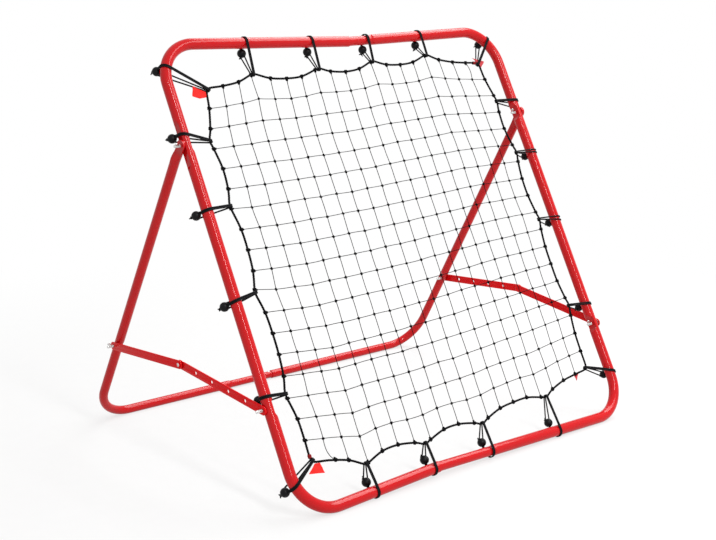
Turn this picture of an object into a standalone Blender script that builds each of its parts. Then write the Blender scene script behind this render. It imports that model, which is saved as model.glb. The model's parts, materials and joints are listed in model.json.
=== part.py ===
"""Folding rebounder: a leaning tube frame holds a net on elastic loops, and a hinged rear stand holds it up.

Metres, +Z up. The net faces -Y, the rear stand is at +Y, and +X is to the viewer's right.
The origin is on the floor, midway between the outermost points in X and in Y.
"""

import math

import bmesh
import bpy
from mathutils import Matrix, Vector

# Front frame
FRONT_WIDTH = 0.960
FRONT_LENGTH = 0.9919
FRONT_TUBE = 0.0235
FRONT_WALL = 0.0012
FRONT_CORNER_RADIUS = 0.085
FRONT_LEAN = math.radians(28.8)
TOP_DIP = 0.012
BOTTOM_RISE = 0.0102
TOP_JOINT_U = 0.0234
BOTTOM_JOINT_U = -0.118
TOP_NECK_LENGTH = 0.060
BOTTOM_NECK_LENGTH = 0.150
NECK_INSERT = 0.040
NECK_TAPER = 0.008

# Rear stand
REAR_TUBE = 0.020
REAR_WALL = 0.0012
REAR_CORNER_RADIUS = 0.085
REAR_LEAN = math.radians(30.2)
REAR_SPREAD_AT_PIVOT = 0.016
REAR_SPREAD_AT_FLOOR = 0.0207
REAR_JOINT_U = 0.004
REAR_NECK_LENGTH = 0.120
REAR_INSERT = 0.045

# Fold pivots and brace
PIVOT_DISTANCE = 0.7517
FRONT_BRACE_DISTANCE = 0.212
REAR_BRACE_DISTANCE = 0.2275
BRACE_RISE = 0.0255
BAR_WIDTH = 0.018
BAR_THICKNESS = 0.0025
BAR_END_MARGIN = 0.0015
BAR_HOLE_COUNT = 6
REAR_BAR_GAP = 0.0005
WASHER_THICKNESS = 0.0011
WASHER_RADIUS = 0.0075

# Pressed flats on the tubes
PIVOT_FLAT_DEPTH = 0.0032
PIVOT_FLAT_HALF_LENGTH = 0.042
SPADE_THICKNESS = 0.0061
SPADE_RADIUS = 0.012
SPADE_START = 0.015
SPADE_TAPER_START = 0.040
PIVOT_RECESS_DEPTH = 0.0077
BRACE_RECESS_DEPTH = 0.0087
LEG_RECESS_DEPTH = 0.0060
RECESS_HALF_LENGTH = 0.010
RECESS_TAPER = 0.012

# Fasteners
BOLT_DIAMETER = 0.006
BOLT_HEAD_RADIUS = 0.0064
BOLT_HEAD_HEIGHT = 0.003
BOLT_TIP = 0.0015
WING_HUB_RADIUS = 0.0056
WING_HUB_HEIGHT = 0.011
WING_SPAN = 0.025
WING_THICKNESS = 0.0022
WING_HEIGHT = 0.0178
HEX_NUT_FLATS = 0.010
HEX_NUT_HEIGHT = 0.005
SCREW_HEAD_RADIUS = 0.0034
SCREW_HEAD_HEIGHT = 0.0022
SCREW_DIAMETER = 0.004
SCREW_LENGTH = 0.006
SCREW_SETBACK = 0.007

# Net and its rope
NET_COLUMNS = 19
NET_ROWS = 18
TWINE = 0.0018
ROPE = 0.0045
END_TENT = 0.017
SIDE_TENT = 0.012
TENT_REACH = 0.025
TENT_TIP_RADIUS = 0.006
TENT_FADE = 0.050
ROPE_CORNER_CUT = 0.007
LOOP_KEEP_OUT = 0.006

# Elastic loops
CORD_WIDTH = 0.0066
CORD_THICKNESS = 0.0022
BALL = 0.019
APEX_CLEARANCE = 0.0013

# Fabric tabs at the net's corners
TAB_THICKNESS = 0.0012

# Outline of each tab, (across, up) from its corner of the net
TAB_OUTLINES = {
    "top_left": [
        (-0.0303, 0.0073), (-0.0045, -0.0074), (-0.0057, -0.0182),
        (-0.0221, -0.0205), (-0.0376, -0.0140),
    ],
    "top_right": [
        (-0.0136, 0.0138), (-0.0038, 0.0025), (0.0032, -0.0049),
        (0.0038, -0.0133), (0.0221, 0.0029), (0.0116, 0.0061),
    ],
    "bottom_left": [(0.0069, -0.0044), (0.0184, -0.0058), (0.0228, -0.0268), (-0.0134, -0.0205)],
    "bottom_right": [(-0.0475, -0.0077), (-0.0318, -0.0059), (-0.0453, -0.0197)],
}

# Running gaps and how finely round forms are cut
GAP = 0.0003
CORD_GAP = 0.0002
TUBE_SIDES = 12
CORNER_STEPS = 6
BOLT_SIDES = 8
ROPE_SIDES = 5
BALL_SIDES = 8
BALL_RINGS = 4

# Where the loops wrap the tube, as shares of a side from its left or lower end
TOP_TUBE_SHARES = [0.2266, 0.4098, 0.5777, 0.7494]
BOTTOM_TUBE_SHARES = [0.1903, 0.3580, 0.5331, 0.7563]
LEFT_TUBE_SHARES = [0.4416, 0.6333, 0.7956]
RIGHT_TUBE_SHARES = [0.4897, 0.6676, 0.8049]

# How far the lowest side loop lies above the brace's bolt
LEFT_LOOP_CLEARANCE = 0.0223
RIGHT_LOOP_CLEARANCE = 0.0471

# Where the loops pull the net, as shares of its side from its left or lower end
TOP_NET_SHARES = [0.1589, 0.3829, 0.5835, 0.7978]
BOTTOM_NET_SHARES = [0.1514, 0.3487, 0.5533, 0.8079]
LEFT_NET_SHARES = [0.1787, 0.4438, 0.6767, 0.8558]
RIGHT_NET_SHARES = [0.1969, 0.4758, 0.6964, 0.8695]

# How far inside the tube's middle line those points of the net are pulled
TOP_INSETS = [0.0764, 0.0734, 0.0634, 0.0554]
BOTTOM_INSETS = [0.0600, 0.0630, 0.0670, 0.0810]
LEFT_INSETS = [0.04625, 0.05025, 0.05525, 0.05625]
RIGHT_INSETS = [0.05525, 0.05175, 0.04825, 0.05325]

# How far inside the tube's middle lines the net's corners lie: (across, up)
TOP_LEFT_INSET = (0.08585, 0.1010)
TOP_RIGHT_INSET = (0.07005, 0.0835)
BOTTOM_LEFT_INSET = (0.05535, 0.0936)
BOTTOM_RIGHT_INSET = (0.07045, 0.1146)

# Where the balls sit behind the tube: (outward, back) from the tube's axis
TOP_BALL = (-0.015, 0.018)
BOTTOM_BALL = (-0.022, 0.018)
LEFT_BALL = (0.016, 0.018)
LEFT_LOW_BALL = (0.002, 0.0235)
RIGHT_BALL = (0.003, 0.024)
RIGHT_LOW_BALL = (0.0018, 0.024)
RIGHT_HIGH_BALL = (0.016, 0.018)
TOP_LEFT_BALL = (0.010, 0.021)
TOP_RIGHT_BALL = (0.006, 0.026)
BOTTOM_LEFT_BALL = (0.013, 0.021)
BOTTOM_RIGHT_BALL = (0.004, 0.0235)

# Angle on the corner's arc, counted from +X, where each corner loop wraps
TOP_LEFT_ANGLE = math.radians(157)
TOP_RIGHT_ANGLE = math.radians(43)
BOTTOM_LEFT_ANGLE = math.radians(196)

# Height on the straight tube where the lower right corner's loop wraps
BOTTOM_RIGHT_HEIGHT = 0.0932

RED = (0.56, 0.012, 0.018, 1.0)
STRAP_RED = (0.72, 0.02, 0.02, 1.0)
BLACK = (0.012, 0.012, 0.013, 1.0)
STEEL = (0.62, 0.62, 0.63, 1.0)

# Values that follow from the sizes above
FRONT_RADIUS = FRONT_TUBE / 2
REAR_RADIUS = REAR_TUBE / 2
FACET = math.cos(math.pi / TUBE_SIDES)
FRONT_HALF = (FRONT_WIDTH - FRONT_TUBE) / 2
FRONT_TOP = FRONT_LENGTH - FRONT_TUBE
FRONT_AXIS_Z = FRONT_RADIUS * FACET
REAR_AXIS_Z = REAR_RADIUS * FACET
BORE_RADIUS = FRONT_RADIUS - FRONT_WALL
NECK_RADIUS = BORE_RADIUS * FACET - GAP
REAR_NECK_RADIUS = (REAR_RADIUS - REAR_WALL) * FACET - GAP

PIVOT_Y = PIVOT_DISTANCE * math.sin(FRONT_LEAN)
PIVOT_Z = FRONT_AXIS_Z + PIVOT_DISTANCE * math.cos(FRONT_LEAN)
LEG_LENGTH = (PIVOT_Z - REAR_AXIS_Z) / math.cos(REAR_LEAN)
STAND_DEPTH = PIVOT_Y + LEG_LENGTH * math.sin(REAR_LEAN)

FRONT_BRACE_Y = FRONT_BRACE_DISTANCE * math.sin(FRONT_LEAN)
FRONT_BRACE_Z = FRONT_AXIS_Z + FRONT_BRACE_DISTANCE * math.cos(FRONT_LEAN)
REAR_BRACE_Y = STAND_DEPTH - REAR_BRACE_DISTANCE * math.sin(REAR_LEAN)
REAR_BRACE_Z = REAR_AXIS_Z + REAR_BRACE_DISTANCE * math.cos(REAR_LEAN)
BRACE_SPAN = math.hypot(REAR_BRACE_Y - FRONT_BRACE_Y, REAR_BRACE_Z - FRONT_BRACE_Z)
BRACE_SLOPE = math.atan2(REAR_BRACE_Z - FRONT_BRACE_Z, REAR_BRACE_Y - FRONT_BRACE_Y)
BAR_LENGTH = math.hypot(BRACE_SPAN / 2, BRACE_RISE)
BAR_ANGLE = math.atan2(BRACE_RISE, BRACE_SPAN / 2)

# Lateral places, measured outward from the front side tube's axis
PIVOT_FLAT = FRONT_RADIUS - PIVOT_FLAT_DEPTH
SPADE_INNER = PIVOT_FLAT + GAP
SPADE_OUTER = SPADE_INNER + SPADE_THICKNESS
PIVOT_RECESS = PIVOT_RECESS_DEPTH - FRONT_RADIUS
BRACE_RECESS = BRACE_RECESS_DEPTH - FRONT_RADIUS
LEG_AT_BRACE = REAR_SPREAD_AT_FLOOR + (REAR_SPREAD_AT_PIVOT - REAR_SPREAD_AT_FLOOR) * (
    REAR_BRACE_DISTANCE / LEG_LENGTH
)
LEG_RECESS = LEG_AT_BRACE - REAR_RADIUS + LEG_RECESS_DEPTH
REAR_BAR_INNER = LEG_AT_BRACE + REAR_RADIUS + REAR_BAR_GAP
REAR_BAR_OUTER = REAR_BAR_INNER + BAR_THICKNESS
BAR_END_REACH = BAR_END_MARGIN + BAR_WIDTH / 2
WASHER_FACE = FRONT_RADIUS + 2 * GAP + WASHER_THICKNESS
BAR_TIP_INNER = REAR_BAR_INNER - GAP - BAR_THICKNESS
SLOPE_OUT = (BAR_TIP_INNER - WASHER_FACE) / (BAR_LENGTH + WASHER_RADIUS + BAR_END_REACH)
BAR_SLANT = math.atan(SLOPE_OUT)
FRONT_BAR_INNER = WASHER_FACE + WASHER_RADIUS * SLOPE_OUT
FRONT_BAR_OUTER = FRONT_BAR_INNER + BAR_THICKNESS
MIDDLE_INNER = BAR_TIP_INNER - BAR_END_REACH * SLOPE_OUT
SLANT_LIFT = BOLT_HEAD_RADIUS * SLOPE_OUT
BOLT_HOLE = BOLT_DIAMETER / 2 + GAP

NET_CORNERS = {
    "top_left": (TOP_LEFT_INSET[0] - FRONT_HALF, FRONT_TOP - TOP_LEFT_INSET[1]),
    "top_right": (FRONT_HALF - TOP_RIGHT_INSET[0], FRONT_TOP - TOP_RIGHT_INSET[1]),
    "bottom_left": (BOTTOM_LEFT_INSET[0] - FRONT_HALF, BOTTOM_LEFT_INSET[1]),
    "bottom_right": (FRONT_HALF - BOTTOM_RIGHT_INSET[0], BOTTOM_RIGHT_INSET[1]),
}

CORD_REACH = (FRONT_RADIUS * FACET + CORD_GAP + CORD_THICKNESS) / FACET
LEFT_SIDE_REACH = FRONT_HALF + REAR_BAR_OUTER + GAP + WING_HEIGHT
RIGHT_SIDE_REACH = FRONT_HALF + REAR_BAR_OUTER + GAP + HEX_NUT_HEIGHT + BOLT_TIP
SHIFT_X = (LEFT_SIDE_REACH - RIGHT_SIDE_REACH) / 2
SHIFT_Y = (CORD_REACH - STAND_DEPTH - REAR_RADIUS) / 2


def clear_scene():
    for item in list(bpy.data.objects):
        bpy.data.objects.remove(item, do_unlink=True)


def make_material(name, colour, roughness, metallic):
    material = bpy.data.materials.new(name)
    material.use_nodes = True
    shader = material.node_tree.nodes["Principled BSDF"]
    shader.inputs["Base Color"].default_value = colour
    shader.inputs["Roughness"].default_value = roughness
    shader.inputs["Metallic"].default_value = metallic
    material.diffuse_color = colour
    return material


def add_object(name, mesh, material, parent):
    item = bpy.data.objects.new(name, mesh)
    bpy.context.scene.collection.objects.link(item)
    if not mesh.materials:
        mesh.materials.append(material)
    item.parent = parent
    return item


def add_empty(name, place, parent):
    item = bpy.data.objects.new(name, None)
    bpy.context.scene.collection.objects.link(item)
    item.location = place
    item.parent = parent
    return item


def mesh_from(name, points, faces, sharp_angle=40):
    """A mesh with its faces pointing out, shaded smooth with sharp edges kept."""
    mesh = bpy.data.meshes.new(name)
    mesh.from_pydata([tuple(p) for p in points], [], faces)
    edit = bmesh.new()
    edit.from_mesh(mesh)
    bmesh.ops.recalc_face_normals(edit, faces=edit.faces)
    edit.to_mesh(mesh)
    edit.free()
    mesh.shade_smooth()
    mesh.set_sharp_from_angle(angle=math.radians(sharp_angle))
    return mesh


def finished_mesh(item):
    """The mesh of an object with its modifiers applied, for copies to share."""
    graph = bpy.context.evaluated_depsgraph_get()
    return bpy.data.meshes.new_from_object(item.evaluated_get(graph))


def add_boolean(item, tool, operation):
    tool.hide_render = True
    tool.display_type = "WIRE"
    modifier = item.modifiers.new(operation.lower(), "BOOLEAN")
    modifier.object = tool
    modifier.operation = operation
    modifier.solver = "EXACT"


# Planes of the two frames

def front_point(u, v, n=0.0):
    """A point of the front frame: u across, v up along the frame, n back from its middle plane."""
    y = v * math.sin(FRONT_LEAN) + n * math.cos(FRONT_LEAN)
    z = FRONT_AXIS_Z + v * math.cos(FRONT_LEAN) - n * math.sin(FRONT_LEAN)
    return Vector((u, y, z))


def rear_point(u, t, n=0.0):
    """A point of the rear stand: u across, t up along the legs, n back from its middle plane."""
    y = STAND_DEPTH - t * math.sin(REAR_LEAN) + n * math.cos(REAR_LEAN)
    z = REAR_AXIS_Z + t * math.cos(REAR_LEAN) + n * math.sin(REAR_LEAN)
    return Vector((u, y, z))


# Tubes swept through rings

def smooth_step(x):
    x = min(max(x, 0.0), 1.0)
    return x * x * (3 - 2 * x)


def corner_arc(before, corner, after, radius, steps):
    """Points and directions of the round corner between two straight runs."""
    first = (corner - before).normalized()
    second = (after - corner).normalized()
    turn = first.angle_signed(second)
    tangent = radius * math.tan(abs(turn) / 2)
    start = corner - first * tangent
    side = Vector((first.y, -first.x)) * math.copysign(1, turn)
    centre = start + side * radius
    points = []
    for k in range(steps + 1):
        turned = Matrix.Rotation(-turn * k / steps, 2)
        points.append((centre + turned @ (start - centre), turned @ first))
    return points


def ring(plane, centre, direction, radius, phase, stretch=1.0, limits=None):
    """One ring of a tube. Limits press it flat: they bound the distance across, from the middle plane."""
    outward = Vector((-direction.y, direction.x))
    points = []
    for k in range(TUBE_SIDES):
        angle = phase + 2 * math.pi * (k + 0.5) / TUBE_SIDES
        spot = centre + outward * radius * math.cos(angle)
        point = plane(spot.x, spot.y, radius * stretch * math.sin(angle))
        if limits:
            point.x = min(max(point.x, limits[0]), limits[1])
        points.append(point)
    return points


def is_flat(corners):
    """Whether four corners lie in one plane."""
    normal = (corners[1] - corners[0]).cross(corners[2] - corners[0]).normalized()
    return abs(normal.dot(corners[3] - corners[0])) < 1e-6


def tube_mesh(name, outer, bore, mirrored, blind_end=False):
    """A hollow tube from its outer rings and bore rings, open at both ends or closed at the last."""
    points = []
    faces = []
    for loop in outer + bore:
        points += loop
    count = TUBE_SIDES
    last_outer = len(outer) - 1
    first_bore = len(outer)
    last_bore = len(outer) + len(bore) - 1

    def band(a, b):
        """Faces between two rings. A bent one is split the same way outside and in the bore."""
        for k in range(count):
            j = (k + 1) % count
            corners = (a * count + k, a * count + j, b * count + j, b * count + k)
            if is_flat([points[c] for c in corners]):
                faces.append(corners)
            else:
                faces.append(corners[:3])
                faces.append((corners[0], corners[2], corners[3]))

    for i in list(range(last_outer)) + list(range(first_bore, last_bore)):
        band(i, i + 1)
    band(first_bore, 0)
    if blind_end:
        faces.append(tuple(last_outer * count + k for k in range(count)))
        faces.append(tuple(last_bore * count + k for k in reversed(range(count))))
    else:
        band(last_outer, last_bore)
    if mirrored:
        for point in points:
            point.x = -point.x
    return mesh_from(name, points, faces)


def drill(item, name, place, radius, length, parent, turn=0.0):
    """A round hole across the object, at a place in its parent's frame. Turn leans it from +X to +Z."""
    mesh = cylinder_mesh(name, radius, -length / 2, length / 2)
    tool = bpy.data.objects.new(name, mesh)
    bpy.context.scene.collection.objects.link(tool)
    tool.parent = parent
    tool.location = place
    tool.rotation_euler = (0, -turn, 0)
    add_boolean(item, tool, "DIFFERENCE")


def turned_points(profile, sides):
    """Rings about the X axis from (distance along X, radius) pairs."""
    points = []
    for along, radius in profile:
        for k in range(sides):
            angle = 2 * math.pi * k / sides
            points.append(Vector((along, radius * math.cos(angle), radius * math.sin(angle))))
    return points


def turned_mesh(name, profile, sides, closed=False):
    """A body turned about the X axis. A closed profile leaves a bore, an open one is capped."""
    points = turned_points(profile, sides)
    faces = []
    rows = len(profile)
    for i in range(rows if closed else rows - 1):
        a = i * sides
        b = (i + 1) % rows * sides
        for k in range(sides):
            j = (k + 1) % sides
            faces.append((a + k, a + j, b + j, b + k))
    if not closed:
        faces.append(tuple(range(sides)))
        faces.append(tuple((rows - 1) * sides + k for k in range(sides)))
    return mesh_from(name, points, faces, 30)


def cylinder_mesh(name, radius, start, end):
    return turned_mesh(name, [(start, radius), (end, radius)], BOLT_SIDES)


# Front frame

def stations(centre, half_length, taper):
    """Places of the rings around a pressed flat, in falling order."""
    steps = (half_length + taper, half_length, -half_length, -half_length - taper)
    return [centre + step for step in steps]


def front_limits(v):
    """How far in and out the front side tube's wall may stand at height v, from the frame's middle."""
    from_pivot = abs(v - PIVOT_DISTANCE)
    from_brace = abs(v - FRONT_BRACE_DISTANCE)
    outer = FRONT_RADIUS
    inner = -FRONT_RADIUS
    if from_pivot < PIVOT_FLAT_HALF_LENGTH + 0.5 * RECESS_TAPER:
        outer = PIVOT_FLAT
    if from_pivot < RECESS_HALF_LENGTH + 0.5 * RECESS_TAPER:
        inner = PIVOT_RECESS
    if from_brace < RECESS_HALF_LENGTH + 0.5 * RECESS_TAPER:
        inner = BRACE_RECESS
    return inner, outer


def side_places():
    """Heights of the rings on a front side tube, from the top down."""
    places = stations(PIVOT_DISTANCE, PIVOT_FLAT_HALF_LENGTH, RECESS_TAPER)
    places += stations(PIVOT_DISTANCE, RECESS_HALF_LENGTH, RECESS_TAPER)
    places += stations(FRONT_BRACE_DISTANCE, RECESS_HALF_LENGTH, RECESS_TAPER)
    return sorted(places, reverse=True)


def bottom_corner_height(run):
    """Height where the straight runs meet, so that the bend's lowest point is at 0 and the run climbs."""
    height = 0.0
    for step in range(4):
        slope = math.atan2(BOTTOM_RISE - height, run)
        height = -FRONT_CORNER_RADIUS * math.tan((math.pi / 2 + slope) / 2) * math.sin(slope)
    return height


def front_lines():
    """Corners and joints of the front frame's middle line, for the right half and the left half."""
    return {
        "top_joint": Vector((TOP_JOINT_U, FRONT_TOP - TOP_DIP)),
        "top_right": Vector((FRONT_HALF, FRONT_TOP)),
        "top_left": Vector((-FRONT_HALF, FRONT_TOP)),
        "bottom_right": Vector((FRONT_HALF, bottom_corner_height(FRONT_HALF - BOTTOM_JOINT_U))),
        "bottom_left": Vector((-FRONT_HALF, bottom_corner_height(FRONT_HALF + BOTTOM_JOINT_U))),
        "bottom_joint": Vector((BOTTOM_JOINT_U, BOTTOM_RISE)),
    }


def along(start, end, distance):
    return start + (end - start).normalized() * distance


def front_half_rings(top_run, corner_top, corner_bottom, bottom_run, shrink):
    """Rings of one half of the front frame, from its top end to its bottom end, on the +X side.

    A run is a list of (point, radius). The top run starts at its joint and the bottom run ends there.
    """
    rings = []
    phase = FRONT_LEAN
    top_points = [point for point, radius in top_run]
    bottom_points = [point for point, radius in bottom_run]
    for k, (point, radius) in enumerate(top_run):
        target = top_points[k + 1] if k + 1 < len(top_run) else corner_top
        source = top_points[k - 1] if k else point
        direction = ((target - point).normalized() + (point - source).normalized()).normalized()
        rings.append(ring(front_point, point, direction, radius - shrink, phase))
    bend = (FRONT_CORNER_RADIUS, CORNER_STEPS)
    for point, direction in corner_arc(top_points[-1], corner_top, corner_bottom, *bend):
        rings.append(ring(front_point, point, direction, FRONT_RADIUS - shrink, phase))
    for v in side_places():
        inner, outer = front_limits(v)
        limits = (FRONT_HALF + inner + shrink, FRONT_HALF + outer - shrink)
        point = Vector((FRONT_HALF, v))
        down = Vector((0, -1))
        rings.append(ring(front_point, point, down, FRONT_RADIUS - shrink, phase, limits=limits))
    for point, direction in corner_arc(corner_top, corner_bottom, bottom_points[0], *bend):
        rings.append(ring(front_point, point, direction, FRONT_RADIUS - shrink, phase))
    for k, (point, radius) in enumerate(bottom_run):
        source = bottom_points[k - 1] if k else corner_bottom
        target = bottom_points[k + 1] if k + 1 < len(bottom_run) else point
        direction = ((target - point).normalized() + (point - source).normalized()).normalized()
        rings.append(ring(front_point, point, direction, radius - shrink, phase))
    return rings


def flipped(point):
    return Vector((-point.x, point.y))


def neck_run(joint, own_corner, far_corner, neck_length):
    """Points and radii of a reduced end: from inside the other half, over the joint, to the full tube."""
    kink = along(joint, own_corner, 0.003)
    inside = along(kink, far_corner, NECK_INSERT)
    neck_end = along(joint, own_corner, neck_length)
    full = along(joint, own_corner, neck_length + NECK_TAPER)
    return [(inside, NECK_RADIUS), (kink, NECK_RADIUS), (neck_end, NECK_RADIUS), (full, FRONT_RADIUS)]


def build_front_half(name, mirrored, material, parent):
    lines = front_lines()
    if mirrored:
        lines = {key: flipped(point) for key, point in lines.items()}
        corner_top = lines["top_left"]
        corner_bottom = lines["bottom_left"]
        top_run = [(lines["top_joint"], FRONT_RADIUS)]
        bottom_run = [(lines["bottom_joint"], FRONT_RADIUS)]
    else:
        corner_top = lines["top_right"]
        corner_bottom = lines["bottom_right"]
        top_run = neck_run(lines["top_joint"], corner_top, lines["top_left"], TOP_NECK_LENGTH)
        bottom_joint = lines["bottom_joint"]
        bottom_run = neck_run(bottom_joint, corner_bottom, lines["bottom_left"], BOTTOM_NECK_LENGTH)
        bottom_run.reverse()
    runs = (top_run, corner_top, corner_bottom, bottom_run)
    outer = front_half_rings(*runs, 0.0)
    bore = front_half_rings(*runs, FRONT_WALL)
    item = add_object(name, tube_mesh(name, outer, bore, mirrored), material, parent)
    side_u = -FRONT_HALF if mirrored else FRONT_HALF
    drill(item, name + "_pivot_hole", (side_u, PIVOT_Y, PIVOT_Z), BOLT_HOLE, 0.04, parent)
    drill(item, name + "_brace_hole", (side_u, FRONT_BRACE_Y, FRONT_BRACE_Z), BOLT_HOLE, 0.04, parent)
    return item


# Rear stand

def leg_u(t):
    """Distance of the leg's axis from the middle at height t along the leg."""
    share = t / LEG_LENGTH
    return FRONT_HALF + REAR_SPREAD_AT_FLOOR + (REAR_SPREAD_AT_PIVOT - REAR_SPREAD_AT_FLOOR) * share


def leg_limits(t):
    """How far in and out the leg's wall may stand at height t."""
    below = LEG_LENGTH - t
    inner = leg_u(t) - REAR_RADIUS
    outer = leg_u(t) + REAR_RADIUS
    if below < PIVOT_FLAT_HALF_LENGTH + 0.5 * RECESS_TAPER:
        inner = FRONT_HALF + SPADE_INNER
        press = smooth_step((SPADE_TAPER_START - below) / (SPADE_TAPER_START - SPADE_START))
        outer += (FRONT_HALF + SPADE_OUTER - outer) * press
    if abs(t - REAR_BRACE_DISTANCE) < RECESS_HALF_LENGTH + 0.5 * RECESS_TAPER:
        inner = FRONT_HALF + LEG_RECESS
    return inner, outer


def leg_stretch(t):
    """The pressed end is wider than the tube, and its rounded tip narrows."""
    below = LEG_LENGTH - t
    press = smooth_step((SPADE_TAPER_START - below) / (SPADE_TAPER_START - SPADE_START))
    width = 1 + (SPADE_RADIUS / REAR_RADIUS - 1) * press
    if below < 0:
        width *= math.sqrt(max(1 - (below / SPADE_RADIUS) ** 2, 0.0))
    return width


def leg_ring(t, shrink):
    inner, outer = leg_limits(t)
    point = Vector((leg_u(t), t))
    direction = Vector((leg_u(LEG_LENGTH) - leg_u(0), LEG_LENGTH)).normalized()
    limits = (inner + shrink, outer - shrink)
    return ring(rear_point, point, -direction, REAR_RADIUS - shrink, -REAR_LEAN, leg_stretch(t), limits)


def leg_places():
    """Heights of the rings on a leg's outside, from its tip down."""
    tip_angles = (80, 60, 35)
    places = [LEG_LENGTH + SPADE_RADIUS * math.sin(math.radians(angle)) for angle in tip_angles]
    places += [LEG_LENGTH, LEG_LENGTH - SPADE_START, LEG_LENGTH - SPADE_TAPER_START]
    places += [LEG_LENGTH - (SPADE_START + SPADE_TAPER_START) / 2]
    places += [LEG_LENGTH - PIVOT_FLAT_HALF_LENGTH, LEG_LENGTH - PIVOT_FLAT_HALF_LENGTH - RECESS_TAPER]
    places += stations(REAR_BRACE_DISTANCE, RECESS_HALF_LENGTH, RECESS_TAPER)
    return sorted(places, reverse=True)


def build_rear_half(name, mirrored, material, parent):
    corner = Vector((FRONT_HALF + REAR_SPREAD_AT_FLOOR, 0))
    top = Vector((leg_u(LEG_LENGTH), LEG_LENGTH))
    joint = Vector((-REAR_JOINT_U if mirrored else REAR_JOINT_U, 0))
    if mirrored:
        neck_end = along(joint, corner, REAR_NECK_LENGTH)
        full = along(joint, corner, REAR_NECK_LENGTH + NECK_TAPER)
        inside = along(joint, corner, -REAR_INSERT)
        run = [(full, REAR_RADIUS), (neck_end, REAR_NECK_RADIUS), (inside, REAR_NECK_RADIUS)]
    else:
        run = [(joint, REAR_RADIUS)]

    def half_rings(shrink, places):
        rings = [leg_ring(t, shrink) for t in places]
        for point, direction in corner_arc(top, corner, joint, REAR_CORNER_RADIUS, CORNER_STEPS):
            rings.append(ring(rear_point, point, direction, REAR_RADIUS - shrink, -REAR_LEAN))
        for point, radius in run:
            direction = Vector((-1, 0))
            rings.append(ring(rear_point, point, direction, radius - shrink, -REAR_LEAN))
        rings.reverse()
        return rings

    bore_places = [t for t in leg_places() if t < LEG_LENGTH - SPADE_START - REAR_WALL]
    outer = half_rings(0.0, leg_places())
    bore = half_rings(REAR_WALL, bore_places)
    mesh = tube_mesh(name, outer, bore, mirrored, blind_end=True)
    item = add_object(name, mesh, material, parent)
    side_u = -FRONT_HALF if mirrored else FRONT_HALF
    drill(item, name + "_pivot_hole", (side_u, PIVOT_Y, PIVOT_Z), BOLT_HOLE, 0.06, parent)
    drill(item, name + "_brace_hole", (side_u, REAR_BRACE_Y, REAR_BRACE_Z), BOLT_HOLE, 0.08, parent)
    if mirrored:
        hole = SCREW_DIAMETER / 2 + GAP
        drill(item, name + "_screw_hole", screw_seat(), hole, 0.01, parent, turn=math.pi / 2)
    return item


def screw_seat():
    """Where the rear bar's screw sits: on top of the reduced end, beside the joint."""
    return (REAR_JOINT_U - SCREW_SETBACK, STAND_DEPTH, REAR_AXIS_Z + REAR_NECK_RADIUS * FACET)


def build_rear_screw(material, parent):
    """The small round screw on top of the rear bar, through the reduced end."""
    profile = [
        (-SCREW_LENGTH, SCREW_DIAMETER / 2),
        (0.0, SCREW_DIAMETER / 2),
        (0.0, SCREW_HEAD_RADIUS),
        (SCREW_HEAD_HEIGHT * 0.6, SCREW_HEAD_RADIUS * 0.8),
        (SCREW_HEAD_HEIGHT, SCREW_HEAD_RADIUS * 0.35),
    ]
    mesh = turned_mesh("rear_bar_screw", profile, BOLT_SIDES)
    item = add_object("rear_bar_screw", mesh, material, parent)
    item.location = Vector(screw_seat()) + Vector((0, 0, GAP))
    item.rotation_euler = (0, -math.pi / 2, 0)
    return item


# Braces

def bar_outline():
    """Outline of a bar with round ends, about the first bolt, along +Y."""
    radius = BAR_WIDTH / 2
    steps = 6
    points = []
    for k in range(steps + 1):
        angle = math.pi * k / steps
        points.append((BAR_LENGTH + BAR_END_MARGIN + radius * math.sin(angle), radius * math.cos(angle)))
    for k in range(steps + 1):
        angle = math.pi * (1 + k / steps)
        points.append((-BAR_END_MARGIN + radius * math.sin(angle), radius * math.cos(angle)))
    return points


def add_poly_spline(curve, points):
    spline = curve.splines.new("POLY")
    spline.points.add(len(points) - 1)
    for point, (x, y) in zip(spline.points, points):
        point.co = (x, y, 0, 1)
    spline.use_cyclic_u = True


def plate_curve(name, outline, holes, thickness):
    """A flat plate: an outline and round holes as a filled, extruded 2D curve."""
    curve = bpy.data.curves.new(name, "CURVE")
    curve.dimensions = "2D"
    curve.fill_mode = "BOTH"
    curve.extrude = thickness / 2
    add_poly_spline(curve, outline)
    for x, y, radius in holes:
        circle = []
        for k in range(BOLT_SIDES):
            angle = 2 * math.pi * k / BOLT_SIDES
            circle.append((x + radius * math.cos(angle), y + radius * math.sin(angle)))
        add_poly_spline(curve, circle)
    return curve


def build_bar(name, side, pivot, angle, slant, lateral, holes, material, parent):
    """A bar turned about its bolt: angle from +Y towards +Z, slant outward, lateral from the side tube."""
    hinge = add_empty(name + "_hinge", (side * FRONT_HALF, pivot[0], pivot[1]), parent)
    pitch = BAR_LENGTH / (BAR_HOLE_COUNT - 1)
    places = [k * pitch for k in range(BAR_HOLE_COUNT)] if holes else [0.0, BAR_LENGTH]
    radius = BOLT_HOLE + GAP
    curve = plate_curve(name, bar_outline(), [(x, 0.0, radius) for x in places], BAR_THICKNESS)
    item = add_object(name, curve, material, hinge)
    heading = Vector((0, math.cos(angle), math.sin(angle)))
    outward = Vector((side, 0, 0))
    across = outward * math.cos(slant) - heading * math.sin(slant)
    ahead = outward * math.sin(slant) + heading * math.cos(slant)
    width = across.cross(ahead)
    turn = Matrix((ahead, width, across)).transposed().to_4x4()
    middle = Vector((side * (lateral + BAR_THICKNESS / 2), 0, 0))
    item.matrix_local = Matrix.Translation(middle) @ turn
    return item


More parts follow.
